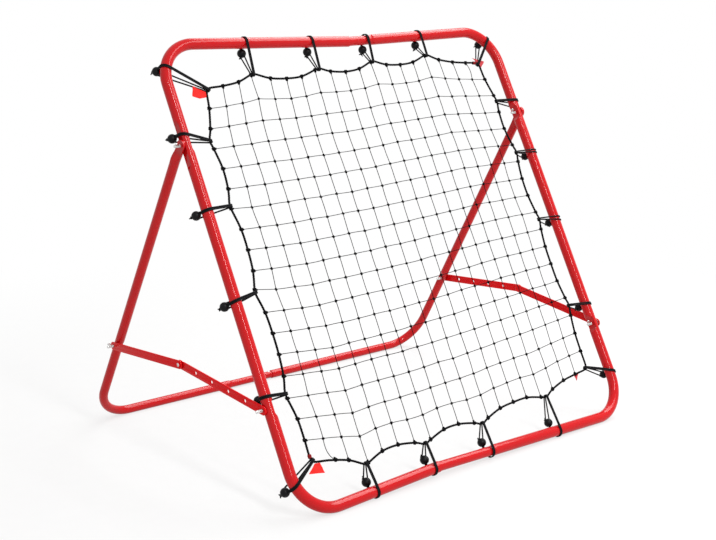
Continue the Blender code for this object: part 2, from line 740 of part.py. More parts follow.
def build_braces(material, parent):
    for label, side in (("left", -1), ("right", 1)):
        front = (FRONT_BRACE_Y, FRONT_BRACE_Z)
        rear = (REAR_BRACE_Y, REAR_BRACE_Z)
        front_holes = label == "left"
        build_bar(
            "front_brace_bar_" + label, side, front, BRACE_SLOPE + BAR_ANGLE, BAR_SLANT,
            FRONT_BAR_INNER, front_holes, material, parent,
        )
        build_bar(
            "rear_brace_bar_" + label, side, rear, math.pi + BRACE_SLOPE - BAR_ANGLE, 0.0,
            REAR_BAR_INNER, not front_holes, material, parent,
        )


# Fasteners

def bolt_profile(shank_length):
    """A round-headed bolt along +X: its head ends at x = 0 and the shank runs on."""
    radius = BOLT_DIAMETER / 2
    return [
        (-BOLT_HEAD_HEIGHT, BOLT_HEAD_RADIUS * 0.45),
        (-BOLT_HEAD_HEIGHT * 0.75, BOLT_HEAD_RADIUS * 0.8),
        (-BOLT_HEAD_HEIGHT * 0.3, BOLT_HEAD_RADIUS),
        (0.0, BOLT_HEAD_RADIUS),
        (0.0, radius),
        (shank_length - BOLT_TIP, radius),
        (shank_length, radius * 0.75),
    ]


def build_bolt(name, head_x, end_x, place, material, parent):
    """A bolt across the part: from under its head at head_x to its end at end_x."""
    mesh = turned_mesh(name, bolt_profile(abs(end_x - head_x)), BOLT_SIDES)
    item = add_object(name, mesh, material, parent)
    item.location = (head_x, place[0], place[1])
    if end_x < head_x:
        item.rotation_euler = (0, 0, math.pi)
    return item


def wing_outline():
    """One wing of a wing nut as (distance from the bolt, height above the seat)."""
    tip = WING_SPAN / 2
    root = BOLT_DIAMETER / 2 + 3 * GAP
    return [
        (root, WING_HUB_HEIGHT * 0.45),
        (WING_HUB_RADIUS + 0.001, WING_HUB_HEIGHT * 0.76),
        (tip - 0.001, WING_HUB_HEIGHT * 0.88),
        (tip, WING_HUB_HEIGHT * 1.1),
        (tip - 0.0004, WING_HEIGHT - 0.0016),
        (tip - 0.0022, WING_HEIGHT),
        (tip - 0.0048, WING_HEIGHT - 0.0018),
        (WING_HUB_RADIUS, WING_HUB_HEIGHT * 1.1),
        (root, WING_HUB_HEIGHT - 0.0006),
    ]


def wing_nut_mesh():
    """A wing nut along +X from its seat at x = 0, with its bore open."""
    bore = BOLT_DIAMETER / 2 + GAP
    top = WING_HUB_RADIUS - 0.0009
    profile = [
        (0.0, bore),
        (0.0, WING_HUB_RADIUS),
        (0.0015, WING_HUB_RADIUS),
        (WING_HUB_HEIGHT, top),
        (WING_HUB_HEIGHT, bore),
    ]
    hub_mesh = turned_mesh("wing_nut_hub", profile, BOLT_SIDES, closed=True)
    hub = bpy.data.objects.new("wing_nut_hub", hub_mesh)
    bpy.context.scene.collection.objects.link(hub)
    hub.hide_render = True
    hub.display_type = "WIRE"
    for side in (-1, 1):
        outline = wing_outline()
        count = len(outline)
        points = []
        for half in (-0.5, 0.5):
            for out, height in outline:
                points.append((height, side * out, half * WING_THICKNESS))
        faces = [tuple(range(count)), tuple(count + k for k in range(count))]
        for k in range(count):
            j = (k + 1) % count
            faces.append((k, j, count + j, count + k))
        mesh = mesh_from("wing_nut_wing", points, faces, 30)
        wing = bpy.data.objects.new("wing_nut_wing", mesh)
        bpy.context.scene.collection.objects.link(wing)
        add_boolean(hub, wing, "UNION")
    bpy.context.view_layer.update()
    return finished_mesh(hub)


def build_wing_nut(name, mesh, seat_x, place, turn, material, parent):
    """A wing nut that points to -X from its seat, its wings turned about the bolt."""
    item = add_object(name, mesh, material, parent)
    item.location = (seat_x, place[0], place[1])
    item.rotation_euler = (turn, 0, math.pi)
    return item


def build_hex_nut(name, seat_x, stub_x, place, material, parent):
    """A hexagonal nut with the bolt's end in it, from its seat away from the stub in the bar's hole."""
    sign = math.copysign(1, seat_x - stub_x)
    corner = HEX_NUT_FLATS / 2 / math.cos(math.pi / 6)
    radius = BOLT_DIAMETER / 2
    nut = turned_mesh(name, [(0.0, corner), (HEX_NUT_HEIGHT, corner)], 6)
    shank = [(-abs(seat_x - stub_x), radius), (HEX_NUT_HEIGHT + BOLT_TIP, radius)]
    tool = bpy.data.objects.new(name + "_thread", turned_mesh(name + "_thread", shank, BOLT_SIDES))
    bpy.context.scene.collection.objects.link(tool)
    item = add_object(name, nut, material, parent)
    for piece in (item, tool):
        piece.location = (seat_x, place[0], place[1])
        piece.rotation_euler = (0, 0, 0 if sign > 0 else math.pi)
    tool.parent = parent
    add_boolean(item, tool, "UNION")
    return item


def build_washer(name, start_x, place, material, parent):
    bore = BOLT_HOLE + GAP
    profile = [
        (0.0, bore),
        (0.0, WASHER_RADIUS),
        (WASHER_THICKNESS, WASHER_RADIUS),
        (WASHER_THICKNESS, bore),
    ]
    item = add_object(name, turned_mesh(name, profile, BOLT_SIDES, closed=True), material, parent)
    item.location = (start_x, place[0], place[1])
    return item


def build_fasteners(material, parent):
    pivot = (PIVOT_Y, PIVOT_Z)
    front = (FRONT_BRACE_Y, FRONT_BRACE_Z)
    rear = (REAR_BRACE_Y, REAR_BRACE_Z)
    middle = (
        FRONT_BRACE_Y + BAR_LENGTH * math.cos(BRACE_SLOPE + BAR_ANGLE),
        FRONT_BRACE_Z + BAR_LENGTH * math.sin(BRACE_SLOPE + BAR_ANGLE),
    )
    nut_mesh = wing_nut_mesh()
    seats = (
        ("pivot", pivot, PIVOT_RECESS, SPADE_OUTER, (35, 70)),
        ("front_brace", front, BRACE_RECESS, FRONT_BAR_OUTER + SLANT_LIFT, (20, 80)),
        ("rear_brace", rear, LEG_RECESS, REAR_BAR_OUTER, (65, 10)),
    )
    for label, place, inside, outside, turns in seats:
        inner = FRONT_HALF + inside - GAP
        outer = FRONT_HALF + outside + GAP
        reach = WING_HUB_HEIGHT + 2 * BOLT_TIP
        turned = [math.radians(turn) for turn in turns]
        build_bolt(label + "_bolt_left", -inner, -outer - reach, place, material, parent)
        build_wing_nut(label + "_wing_nut_left", nut_mesh, -outer, place, turned[0], material, parent)
        build_bolt(label + "_bolt_right", outer, inner - reach, place, material, parent)
        build_wing_nut(label + "_wing_nut_right", nut_mesh, inner, place, turned[1], material, parent)
    inner = FRONT_HALF + MIDDLE_INNER - SLANT_LIFT - GAP
    outer = FRONT_HALF + REAR_BAR_OUTER + GAP
    parting = FRONT_HALF + REAR_BAR_INNER
    inner_stub = parting - 2 * GAP
    build_bolt("middle_bolt_left", -outer, -parting, middle, material, parent)
    build_hex_nut("middle_nut_left", -inner, -inner_stub, middle, material, parent)
    build_bolt("middle_bolt_right", inner, inner_stub, middle, material, parent)
    build_hex_nut("middle_nut_right", outer, parting, middle, material, parent)
    washer = FRONT_HALF + FRONT_RADIUS + GAP
    build_washer("brace_washer_left", -washer - WASHER_THICKNESS, front, material, parent)
    build_washer("brace_washer_right", washer, front, material, parent)


# Net

def soft_distance(distance):
    """Distance from a tent's tip, with the tip flat where the elastic loop lies."""
    beyond = max(abs(distance) - LOOP_KEEP_OUT, 0.0)
    return math.sqrt(beyond * beyond + TENT_TIP_RADIUS * TENT_TIP_RADIUS) - TENT_TIP_RADIUS


def tent_height(place, peaks, height):
    return sum(height * math.exp(-soft_distance(place - peak) / TENT_REACH) for peak in peaks)


def interpolate(x, points):
    """Straight-line interpolation through (x, y) pairs in rising order."""
    for (x0, y0), (x1, y1) in zip(points, points[1:]):
        if x <= x1 or (x1, y1) == points[-1]:
            return y0 + (y1 - y0) * (x - x0) / (x1 - x0)
    return points[-1][1]


def between(first, last, share):
    return first + (last - first) * share


def net_side(ends, shares, insets, edge, sign, tent):
    """A side of the net: its resting line through its ends and under its tents, their height and sign."""
    first, last = ends
    points = [first]
    for share, inset in zip(shares, insets):
        points.append((between(first[0], last[0], share), edge - sign * (inset + tent)))
    points.append(last)
    return points, tent, sign


def swapped(pair):
    return pair[1], pair[0]


TOP_ENDS = (NET_CORNERS["top_left"], NET_CORNERS["top_right"])
BOTTOM_ENDS = (NET_CORNERS["bottom_left"], NET_CORNERS["bottom_right"])
LEFT_ENDS = (swapped(NET_CORNERS["bottom_left"]), swapped(NET_CORNERS["top_left"]))
RIGHT_ENDS = (swapped(NET_CORNERS["bottom_right"]), swapped(NET_CORNERS["top_right"]))
NET_SIDES = {
    "top": net_side(TOP_ENDS, TOP_NET_SHARES, TOP_INSETS, FRONT_TOP, 1, END_TENT),
    "bottom": net_side(BOTTOM_ENDS, BOTTOM_NET_SHARES, BOTTOM_INSETS, 0.0, -1, END_TENT),
    "left": net_side(LEFT_ENDS, LEFT_NET_SHARES, LEFT_INSETS, -FRONT_HALF, -1, SIDE_TENT),
    "right": net_side(RIGHT_ENDS, RIGHT_NET_SHARES, RIGHT_INSETS, FRONT_HALF, 1, SIDE_TENT),
}


def side_peaks(side):
    line = NET_SIDES[side][0]
    return [place for place, level in line[1:-1]]


def side_level(side, place):
    """Resting level and tent height of a side at a place along it."""
    line, tent, sign = NET_SIDES[side]
    return interpolate(place, line), sign * tent_height(place, side_peaks(side), tent)


def kept_clear(place, peaks):
    """A place along a side, moved to the edge of a loop's clearance where it falls within it."""
    for peak in peaks:
        if abs(place - peak) < 1.5 * LOOP_KEEP_OUT:
            return peak + math.copysign(LOOP_KEEP_OUT, place - peak)
    return place


def side_point(side, place):
    level, tent = side_level(side, place)
    if side in ("top", "bottom"):
        return Vector((place, level + tent))
    return Vector((level + tent, place))


def side_ends(side):
    line = NET_SIDES[side][0]
    return line[0][0], line[-1][0]


def strand_places(side):
    """Places along a side where the net's strands meet the rope."""
    count = NET_COLUMNS if side in ("top", "bottom") else NET_ROWS
    start, end = side_ends(side)
    peaks = side_peaks(side)
    return [kept_clear(start + (end - start) * k / count, peaks) for k in range(1, count)]


def rope_points():
    """The rope's middle line, once round the net: each side's strands and tents, and a cut corner."""
    loop = []
    for side, backwards in (("top", False), ("right", True), ("bottom", True), ("left", False)):
        start, end = side_ends(side)
        places = set(strand_places(side))
        for peak in side_peaks(side):
            places |= {peak - LOOP_KEEP_OUT, peak, peak + LOOP_KEEP_OUT}
        corners = [start + ROPE_CORNER_CUT, end - ROPE_CORNER_CUT]
        chosen = sorted(place for place in places if corners[0] < place < corners[1])
        chosen = [corners[0]] + chosen + [corners[1]]
        kept = [chosen[0]]
        for place in chosen[1:]:
            if place - kept[-1] > 1e-6:
                kept.append(place)
        points = [side_point(side, place) for place in kept]
        loop += reversed(points) if backwards else points
    return loop


def build_rope(material, parent):
    """The rope round the net, a closed tube through its points."""
    path = rope_points()
    count = len(path)
    points = []
    faces = []
    for i, point in enumerate(path):
        before = (point - path[i - 1]).normalized()
        after = (path[(i + 1) % count] - point).normalized()
        direction = (before + after).normalized()
        widen = 1 / max(direction.dot(after), 0.5)
        outward = Vector((-direction.y, direction.x)) * widen
        for k in range(ROPE_SIDES):
            angle = 2 * math.pi * (k + 0.5) / ROPE_SIDES
            spot = point + outward * (ROPE / 2) * math.cos(angle)
            points.append(front_point(spot.x, spot.y, ROPE / 2 * math.sin(angle)))
        for k in range(ROPE_SIDES):
            j = (k + 1) % ROPE_SIDES
            a = i * ROPE_SIDES
            b = (i + 1) % count * ROPE_SIDES
            faces.append((a + k, a + j, b + j, b + k))
    return add_object("border_rope", mesh_from("border_rope", points, faces), material, parent)


def net_knot(i, j):
    """Place of the net's knot in column line i and row line j."""
    across = i / NET_COLUMNS
    up = j / NET_ROWS
    left_start, left_end = side_ends("left")
    right_start, right_end = side_ends("right")
    top_start, top_end = side_ends("top")
    bottom_start, bottom_end = side_ends("bottom")
    left, left_tent = side_level("left", between(left_start, left_end, up))
    right, right_tent = side_level("right", between(right_start, right_end, up))
    bottom, bottom_tent = side_level("bottom", between(bottom_start, bottom_end, across))
    top, top_tent = side_level("top", between(top_start, top_end, across))
    u = between(left, right, across)
    v = between(bottom, top, up)
    pull_u = left_tent * math.exp((left - u) / TENT_FADE) + right_tent * math.exp((u - right) / TENT_FADE)
    pull_v = bottom_tent * math.exp((bottom - v) / TENT_FADE) + top_tent * math.exp((v - top) / TENT_FADE)
    return Vector((u + pull_u, v + pull_v))


def strand_end(side, place, inner):
    """Where a strand from an inner knot stops, just short of the rope."""
    start = side_point(side, place)
    nearby = side_point(side, place + 0.001) - side_point(side, place - 0.001)
    ahead = (inner - start).normalized()
    sine = max(abs(nearby.normalized().cross(ahead)), 0.4)
    return start + ahead * ((ROPE / 2 + TWINE / 2) / sine + GAP)


class Mesh:
    """Points and faces of the net, gathered strand by strand."""

    def __init__(self):
        self.points = []
        self.faces = []
        self.knots = {}

    def add(self, spot, n):
        self.points.append(front_point(spot.x, spot.y, n))
        return len(self.points) - 1

    def knot(self, key, spot):
        """A ridge point in front and the four points between neighbouring strands behind it."""
        if key not in self.knots:
            half = TWINE / 2
            corners = {}
            for a, b in ((-1, -1), (1, -1), (1, 1), (-1, 1)):
                corners[(a, b)] = self.add(spot + Vector((a * half, b * half)), half)
            self.faces.append(tuple(corners.values()))
            self.knots[key] = (self.add(spot, -half), corners)
        return self.knots[key]

    def end(self, spot, across):
        half = TWINE / 2
        edges = (self.add(spot - across * half, half), self.add(spot + across * half, half))
        return self.add(spot, -half), edges

    def strand(self, first, last):
        """Three long faces between two ends, each given as its ridge and its two edges."""
        for edge in (0, 1):
            self.faces.append((first[0], last[0], last[1][edge], first[1][edge]))
        self.faces.append((first[1][0], last[1][0], last[1][1], first[1][1]))

    def cap(self, end):
        self.faces.append((end[0], end[1][0], end[1][1]))


def knot_side(knot, along_u, sign):
    """The ends of a strand leaving a knot along u or v, in the direction of sign."""
    ridge, corners = knot
    if along_u:
        return ridge, (corners[(sign, -1)], corners[(sign, 1)])
    return ridge, (corners[(-1, sign)], corners[(1, sign)])


def build_net(material, parent):
    net = Mesh()
    knots = {(i, j): net_knot(i, j) for i in range(NET_COLUMNS + 1) for j in range(NET_ROWS + 1)}

    def run_strand(keys, along_u, sides, places):
        for first, last in zip(keys, keys[1:]):
            start = knot_side(net.knot(first, knots[first]), along_u, 1)
            stop = knot_side(net.knot(last, knots[last]), along_u, -1)
            net.strand(start, stop)
        for key, side, place, sign in zip((keys[0], keys[-1]), sides, places, (-1, 1)):
            spot = strand_end(side, place, knots[key])
            across = Vector((0, 1)) if along_u else Vector((1, 0))
            end = net.end(spot, across)
            net.strand(knot_side(net.knot(key, knots[key]), along_u, sign), end)
            net.cap(end)

    left = strand_places("left")
    right = strand_places("right")
    bottom = strand_places("bottom")
    top = strand_places("top")
    for j in range(1, NET_ROWS):
        keys = [(i, j) for i in range(1, NET_COLUMNS)]
        run_strand(keys, True, ("left", "right"), (left[j - 1], right[j - 1]))
    for i in range(1, NET_COLUMNS):
        keys = [(i, j) for j in range(1, NET_ROWS)]
        run_strand(keys, False, ("bottom", "top"), (bottom[i - 1], top[i - 1]))
    return add_object("net", mesh_from("net", net.points, net.faces), material, parent)


# Elastic loops

def arc_angles(start, end, grid, phase):
    """Angles of the grid strictly between two angles, rising."""
    first = math.ceil((start - phase) / grid)
    angles = []
    k = first
    while phase + k * grid < end - 1e-6:
        if phase + k * grid > start + 1e-6:
            angles.append(phase + k * grid)
        k += 1
    return angles


def belt(circles):
    """Points of a belt run anticlockwise round circles, each (x, y, radius, grid step, grid phase)."""
    count = len(circles)
    touch = []
    for i in range(count):
        x0, y0, r0, step, phase = circles[i]
        x1, y1, r1, step, phase = circles[(i + 1) % count]
        heading = math.atan2(y1 - y0, x1 - x0)
        distance = math.hypot(x1 - x0, y1 - y0)
        touch.append(heading - math.acos((r0 - r1) / distance))
    points = []
    for i in range(count):
        x, y, radius, step, phase = circles[i]
        start = touch[i - 1]
        end = touch[i]
        while end < start:
            end += 2 * math.pi
        angles = arc_angles(start - step / 2, end + step / 2, step, phase)
        points += [(x + radius * math.cos(a), y + radius * math.sin(a)) for a in angles]
    return points


def loop_mesh(name, wrap, direction, apex, rope_direction, ball):
    """The cord of one loop. In its section x is outward from the tube and y is back.

    wrap is the tube's middle point and direction the tube's, apex and rope_direction the rope's.
    """
    pull = apex - wrap
    outward = Vector((-direction.y, direction.x)).normalized()
    if outward.dot(pull) > 0:
        outward = -outward
    distance = -pull.dot(outward)
    stretch = pull.length / distance
    line = -pull.normalized()
    grid = 2 * math.pi / TUBE_SIDES
    tube_radius = (FRONT_RADIUS * FACET + CORD_GAP + CORD_THICKNESS / 2) / FACET
    apex_radius = ROPE / 2 + APEX_CLEARANCE + CORD_THICKNESS / 2
    circles = [
        (0.0, 0.0, tube_radius, grid, FRONT_LEAN + grid / 2),
        (ball[0], ball[1], BALL / 6, math.pi / 3, 0.0),
        (-distance, 0.0, apex_radius, math.pi / 3, math.pi / 6),
    ]
    path = [Vector(point) for point in belt(circles)]
    count = len(path)
    along_tube = direction.normalized()
    along_rope = rope_direction.normalized()
    if along_rope.dot(along_tube) < 0:
        along_rope = -along_rope
    points = []
    faces = []
    for i, point in enumerate(path):
        before = (point - path[i - 1]).normalized()
        after = (path[(i + 1) % count] - point).normalized()
        heading = (before + after).normalized()
        widen = 1 / max(heading.dot(after), 0.6)
        normal = Vector((heading.y, -heading.x)) * (CORD_THICKNESS / 2 * widen)
        for side, across in ((1, -1), (1, 1), (-1, 1), (-1, -1)):
            spot = point + normal * side
            share = min(max(-spot.x / distance, 0.0), 1.0)
            sideways = along_tube.lerp(along_rope, share).normalized()
            flat = wrap + line * (spot.x * stretch) + sideways * (across * CORD_WIDTH / 2)
            points.append(front_point(flat.x, flat.y, spot.y))
        for k in range(4):
            j = (k + 1) % 4
            a = 4 * i
            b = 4 * ((i + 1) % count)
            faces.append((a + k, a + j, b + j, b + k))
    centre = wrap + line * (ball[0] * stretch)
    return mesh_from(name, points, faces), front_point(centre.x, centre.y, ball[1])


def build_loop(name, wrap, direction, apex, rope_direction, ball, ball_mesh, material, parent):
    mesh, centre = loop_mesh(name, wrap, direction, apex, rope_direction, ball)
    item = add_object(name, mesh, material, parent)
    tool = bpy.data.objects.new(name + "_ball", ball_mesh)
    bpy.context.scene.collection.objects.link(tool)
    tool.parent = parent
    tool.location = centre
    add_boolean(item, tool, "UNION")
    return item


def make_ball_mesh():
    mesh = bpy.data.meshes.new("ball")
    edit = bmesh.new()
    bmesh.ops.create_uvsphere(edit, u_segments=BALL_SIDES, v_segments=BALL_RINGS, radius=BALL / 2)
    edit.to_mesh(mesh)
    edit.free()
    mesh.shade_smooth()
    return mesh


def run_point(start, end, u):
    """Point on the straight run from start to end where it crosses u."""
    return start + (end - start) * ((u - start.x) / (end.x - start.x))


def top_wrap(u):
    lines = front_lines()
    corner = lines["top_right"] if u > TOP_JOINT_U else lines["top_left"]
    return run_point(lines["top_joint"], corner, u), corner - lines["top_joint"]


def bottom_wrap(u):
    lines = front_lines()
    corner = lines["bottom_right"] if u > BOTTOM_JOINT_U else lines["bottom_left"]
    return run_point(lines["bottom_joint"], corner, u), corner - lines["bottom_joint"]


def arc_wrap(side, top, angle):
    """A point of a corner's arc and the tube's direction there."""
    lines = front_lines()
    height = "top" if top else "bottom"
    corner = lines[height + ("_right" if side > 0 else "_left")]
    joint = lines[height + "_joint"]
    other = lines[("bottom" if top else "top") + ("_right" if side > 0 else "_left")]
    points = corner_arc(joint, corner, other, FRONT_CORNER_RADIUS, 1)
    start, heading = points[0]
    turn = 1 if heading.cross(other - corner) > 0 else -1
    centre = start + Vector((-heading.y, heading.x)) * (turn * FRONT_CORNER_RADIUS)
    spoke = Vector((math.cos(angle), math.sin(angle)))
    return centre + spoke * FRONT_CORNER_RADIUS, Vector((-spoke.y, spoke.x))


def corner_cut(side_u, side_v):
    """Ends of the rope's cut corner between a top or bottom side and a left or right side."""
    u_end = side_ends(side_u)[0 if side_v == "left" else 1]
    v_end = side_ends(side_v)[0 if side_u == "bottom" else 1]
    first = side_point(side_u, u_end + math.copysign(ROPE_CORNER_CUT, -u_end))
    into = ROPE_CORNER_CUT if side_u == "bottom" else -ROPE_CORNER_CUT
    second = side_point(side_v, v_end + into)
    return first, second


def side_heights(shares, clearance):
    """Heights of a side tube's loops: the lowest just above the brace, the others by their shares."""
    return [FRONT_BRACE_DISTANCE + clearance] + [FRONT_TOP * share for share in shares]


def build_level_loops(side, tube_shares, ball, ball_mesh, material, parent):
    """The loops of the top or the bottom tube."""
    wrap_at = top_wrap if side == "top" else bottom_wrap
    across = Vector((1, 0))
    for k, (share, peak) in enumerate(zip(tube_shares, side_peaks(side))):
        name = f"elastic_{side}_{k + 1}"
        wrap, direction = wrap_at(between(-FRONT_HALF, FRONT_HALF, share))
        apex = side_point(side, peak)
        build_loop(name, wrap, direction, apex, across, ball, ball_mesh, material, parent)


def build_loops(material, parent):
    ball_mesh = make_ball_mesh()
    up = Vector((0, 1))
    build_level_loops("top", TOP_TUBE_SHARES, TOP_BALL, ball_mesh, material, parent)
    build_level_loops("bottom", BOTTOM_TUBE_SHARES, BOTTOM_BALL, ball_mesh, material, parent)
    left = side_heights(LEFT_TUBE_SHARES, LEFT_LOOP_CLEARANCE)
    right = side_heights(RIGHT_TUBE_SHARES, RIGHT_LOOP_CLEARANCE)
    sides = (
        ("left", left, -1, [LEFT_LOW_BALL, LEFT_BALL, LEFT_BALL, LEFT_BALL]),
        ("right", right, 1, [RIGHT_LOW_BALL, RIGHT_BALL, RIGHT_BALL, RIGHT_HIGH_BALL]),
    )
    for side, heights, sign, balls in sides:
        for k, (height, peak, ball) in enumerate(zip(heights, side_peaks(side), balls)):
            wrap = Vector((sign * FRONT_HALF, height))
            apex = side_point(side, peak)
            build_loop(f"elastic_{side}_{k + 1}", wrap, up, apex, up, ball, ball_mesh, material, parent)
    low_right = Vector((FRONT_HALF, BOTTOM_RIGHT_HEIGHT))
    corners = (
        ("top_left", "top", "left", arc_wrap(-1, True, TOP_LEFT_ANGLE), TOP_LEFT_BALL),
        ("top_right", "top", "right", arc_wrap(1, True, TOP_RIGHT_ANGLE), TOP_RIGHT_BALL),
        ("bottom_left", "bottom", "left", arc_wrap(-1, False, BOTTOM_LEFT_ANGLE), BOTTOM_LEFT_BALL),
        ("bottom_right", "bottom", "right", (low_right, up), BOTTOM_RIGHT_BALL),
    )
    for label, side_u, side_v, (wrap, direction), ball in corners:
        first, second = corner_cut(side_u, side_v)
        apex = (first + second) / 2
        name = "elastic_" + label
        build_loop(name, wrap, direction, apex, second - first, ball, ball_mesh, material, parent)


# Fabric tabs

def build_tabs(material, parent):
    """A flat fabric tab outside each corner of the net, between the branches of the corner's loop."""
    for label, outline in TAB_OUTLINES.items():
        corner = NET_CORNERS[label]
        points = []
        for n in (-TAB_THICKNESS / 2, TAB_THICKNESS / 2):
            for across, up in outline:
                points.append(front_point(corner[0] + across, corner[1] + up, n))
        count = len(outline)
        faces = [tuple(range(count)), tuple(count + k for k in range(count))]
        for k in range(count):
            j = (k + 1) % count
            faces.append((k, j, count + j, count + k))
        name = "corner_tab_" + label
        add_object(name, mesh_from(name, points, faces, 30), material, parent)


# Hinges

def hang_on(hinge, prefix, parent):
    """Hangs the parent's pieces with this prefix on a hinge, without moving them."""
    for item in bpy.data.objects:
        if item.parent == parent and item != hinge and item.name.startswith(prefix):
            item.location = item.location - hinge.location
            item.parent = hinge


def build_hinges(parent):
    """The stand turns about the upper bolts and carries the rear bars, and a bar carries half a middle bolt."""
    carried = (
        ("middle_nut_left", "front_brace_bar_left"),
        ("middle_bolt_left", "rear_brace_bar_left"),
        ("middle_bolt_right", "front_brace_bar_right"),
        ("middle_nut_right", "rear_brace_bar_right"),
    )
    for prefix, bar in carried:
        hang_on(bpy.data.objects[bar + "_hinge"], prefix, parent)
    stand = add_empty("rear_stand_hinge", (0, PIVOT_Y, PIVOT_Z), parent)
    hang_on(stand, "rear_", parent)


def main():
    clear_scene()
    paint = make_material("red_paint", RED, 0.28, 0.0)
    steel = make_material("zinc_steel", STEEL, 0.3, 1.0)
    twine = make_material("black_twine", BLACK, 0.8, 0.0)
    elastic = make_material("black_elastic", BLACK, 0.6, 0.0)
    strap = make_material("red_strap", STRAP_RED, 0.7, 0.0)
    root = add_empty("rebounder", (SHIFT_X, SHIFT_Y, 0.0), None)
    build_front_half("front_frame_left", True, paint, root)
    build_front_half("front_frame_right", False, paint, root)
    build_rear_half("rear_frame_left", True, paint, root)
    build_rear_half("rear_frame_right", False, paint, root)
    build_braces(paint, root)
    build_fasteners(steel, root)
    build_rear_screw(steel, root)
    build_net(twine, root)
    build_rope(twine, root)
    build_loops(elastic, root)
    build_tabs(strap, root)
    build_hinges(root)


main()
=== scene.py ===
"""Looks of a folding ball rebounder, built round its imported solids. Metres, +Z up, playing side to -Y."""

import json
import math
import random

import bmesh
import bpy
import numpy as np
from mathutils import Matrix, Vector
from mathutils.geometry import delaunay_2d_cdt

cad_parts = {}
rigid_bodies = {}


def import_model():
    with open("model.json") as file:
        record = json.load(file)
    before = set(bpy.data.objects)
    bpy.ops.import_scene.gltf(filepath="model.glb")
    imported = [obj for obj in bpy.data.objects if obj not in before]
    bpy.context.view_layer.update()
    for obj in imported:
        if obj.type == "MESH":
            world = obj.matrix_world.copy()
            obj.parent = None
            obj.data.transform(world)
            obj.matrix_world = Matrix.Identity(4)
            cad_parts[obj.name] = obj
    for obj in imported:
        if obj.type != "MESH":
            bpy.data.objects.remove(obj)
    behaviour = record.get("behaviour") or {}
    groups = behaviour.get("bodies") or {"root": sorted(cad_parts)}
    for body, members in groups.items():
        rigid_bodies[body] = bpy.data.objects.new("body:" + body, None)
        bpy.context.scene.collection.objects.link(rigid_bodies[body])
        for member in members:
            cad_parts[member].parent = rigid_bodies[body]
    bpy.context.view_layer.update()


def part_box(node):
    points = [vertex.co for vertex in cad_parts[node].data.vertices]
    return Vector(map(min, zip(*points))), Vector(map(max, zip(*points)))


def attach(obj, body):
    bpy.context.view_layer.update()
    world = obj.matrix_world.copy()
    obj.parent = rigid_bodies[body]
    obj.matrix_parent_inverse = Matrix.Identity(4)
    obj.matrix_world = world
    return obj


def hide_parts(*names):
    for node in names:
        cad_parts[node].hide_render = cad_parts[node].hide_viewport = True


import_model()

# Front frame
FRONT_HALF = 0.46825
FRONT_RADIUS = 0.01175
FRONT_WALL = 0.0012
FRONT_TOP = 0.9684
FRONT_CORNER_RADIUS = 0.085
FRONT_LEAN = math.radians(28.8)
FRONT_AXIS_Z = FRONT_RADIUS * math.cos(math.pi / 12)
TOP_DIP = 0.012
BOTTOM_RISE = 0.0102
TOP_JOINT_U = 0.0234
BOTTOM_JOINT_U = -0.118
TOP_NECK_LENGTH = 0.060
BOTTOM_NECK_LENGTH = 0.150
NECK_RADIUS = 0.0103
NECK_INSERT = 0.020
NECK_TAPER = 0.009
NECK_KINK = 0.003
BORE_DEPTH = 0.022
RIM_LENGTH = 0.004
WORN_EDGE = 0.0003

# Rear stand
REAR_RADIUS = 0.010
REAR_WALL = 0.0012
REAR_CORNER_RADIUS = 0.085
REAR_LEAN = math.radians(30.2)
REAR_AXIS_Z = REAR_RADIUS * math.cos(math.pi / 12)
SPREAD_AT_PIVOT = 0.016
SPREAD_AT_FLOOR = 0.0207
REAR_JOINT_U = 0.004
REAR_NECK_LENGTH = 0.120
REAR_NECK_RADIUS = 0.0086

# Pivots and braces
PIVOT_DISTANCE = 0.7517
FRONT_BRACE_DISTANCE = 0.212
REAR_BRACE_DISTANCE = 0.2275
BRACE_RISE = 0.0255
BAR_WIDTH = 0.018
BAR_THICKNESS = 0.0025
BAR_END_MARGIN = 0.0015
BAR_HOLE_COUNT = 6
BAR_EDGE = 0.0004
HOLE_CLEARANCE = 0.0004
HOLE_SIDES = 28
WASHER_THICKNESS = 0.0011
WASHER_RADIUS = 0.0075
PIVOT_FLAT = 0.00855
SPADE_INNER = 0.00885
SPADE_OUTER = 0.01495
SPADE_RADIUS = 0.012
SPADE_START = 0.015
SPADE_TAPER_START = 0.040
PIVOT_FLAT_LENGTH = 0.042
PIVOT_RECESS = -0.00405
BRACE_RECESS = -0.00305
LEG_RECESS = 0.015301
RECESS_LENGTH = 0.010
RECESS_TAPER = 0.012
REAR_BAR_INNER = 0.029801
REAR_BAR_OUTER = 0.032301
FRONT_BAR_INNER = 0.013808
FRONT_BAR_OUTER = 0.016308
MIDDLE_INNER = 0.0265
BAR_SLANT = 0.047639

# Fasteners
BOLT_RADIUS = 0.003
HEAD_RADIUS = 0.0064
HEAD_HEIGHT = 0.003
MIDDLE_HEAD_RADIUS = 0.0042
THREAD_PITCH = 0.001
WING_HUB_RADIUS = 0.0052
WING_HUB_HEIGHT = 0.011
WING_TIP = 0.0110
WING_HEIGHT = 0.0160
WING_THICKNESS = 0.0022
HEX_FLATS = 0.010
HEX_HEIGHT = 0.005
SEAT_GAP = 0.0002

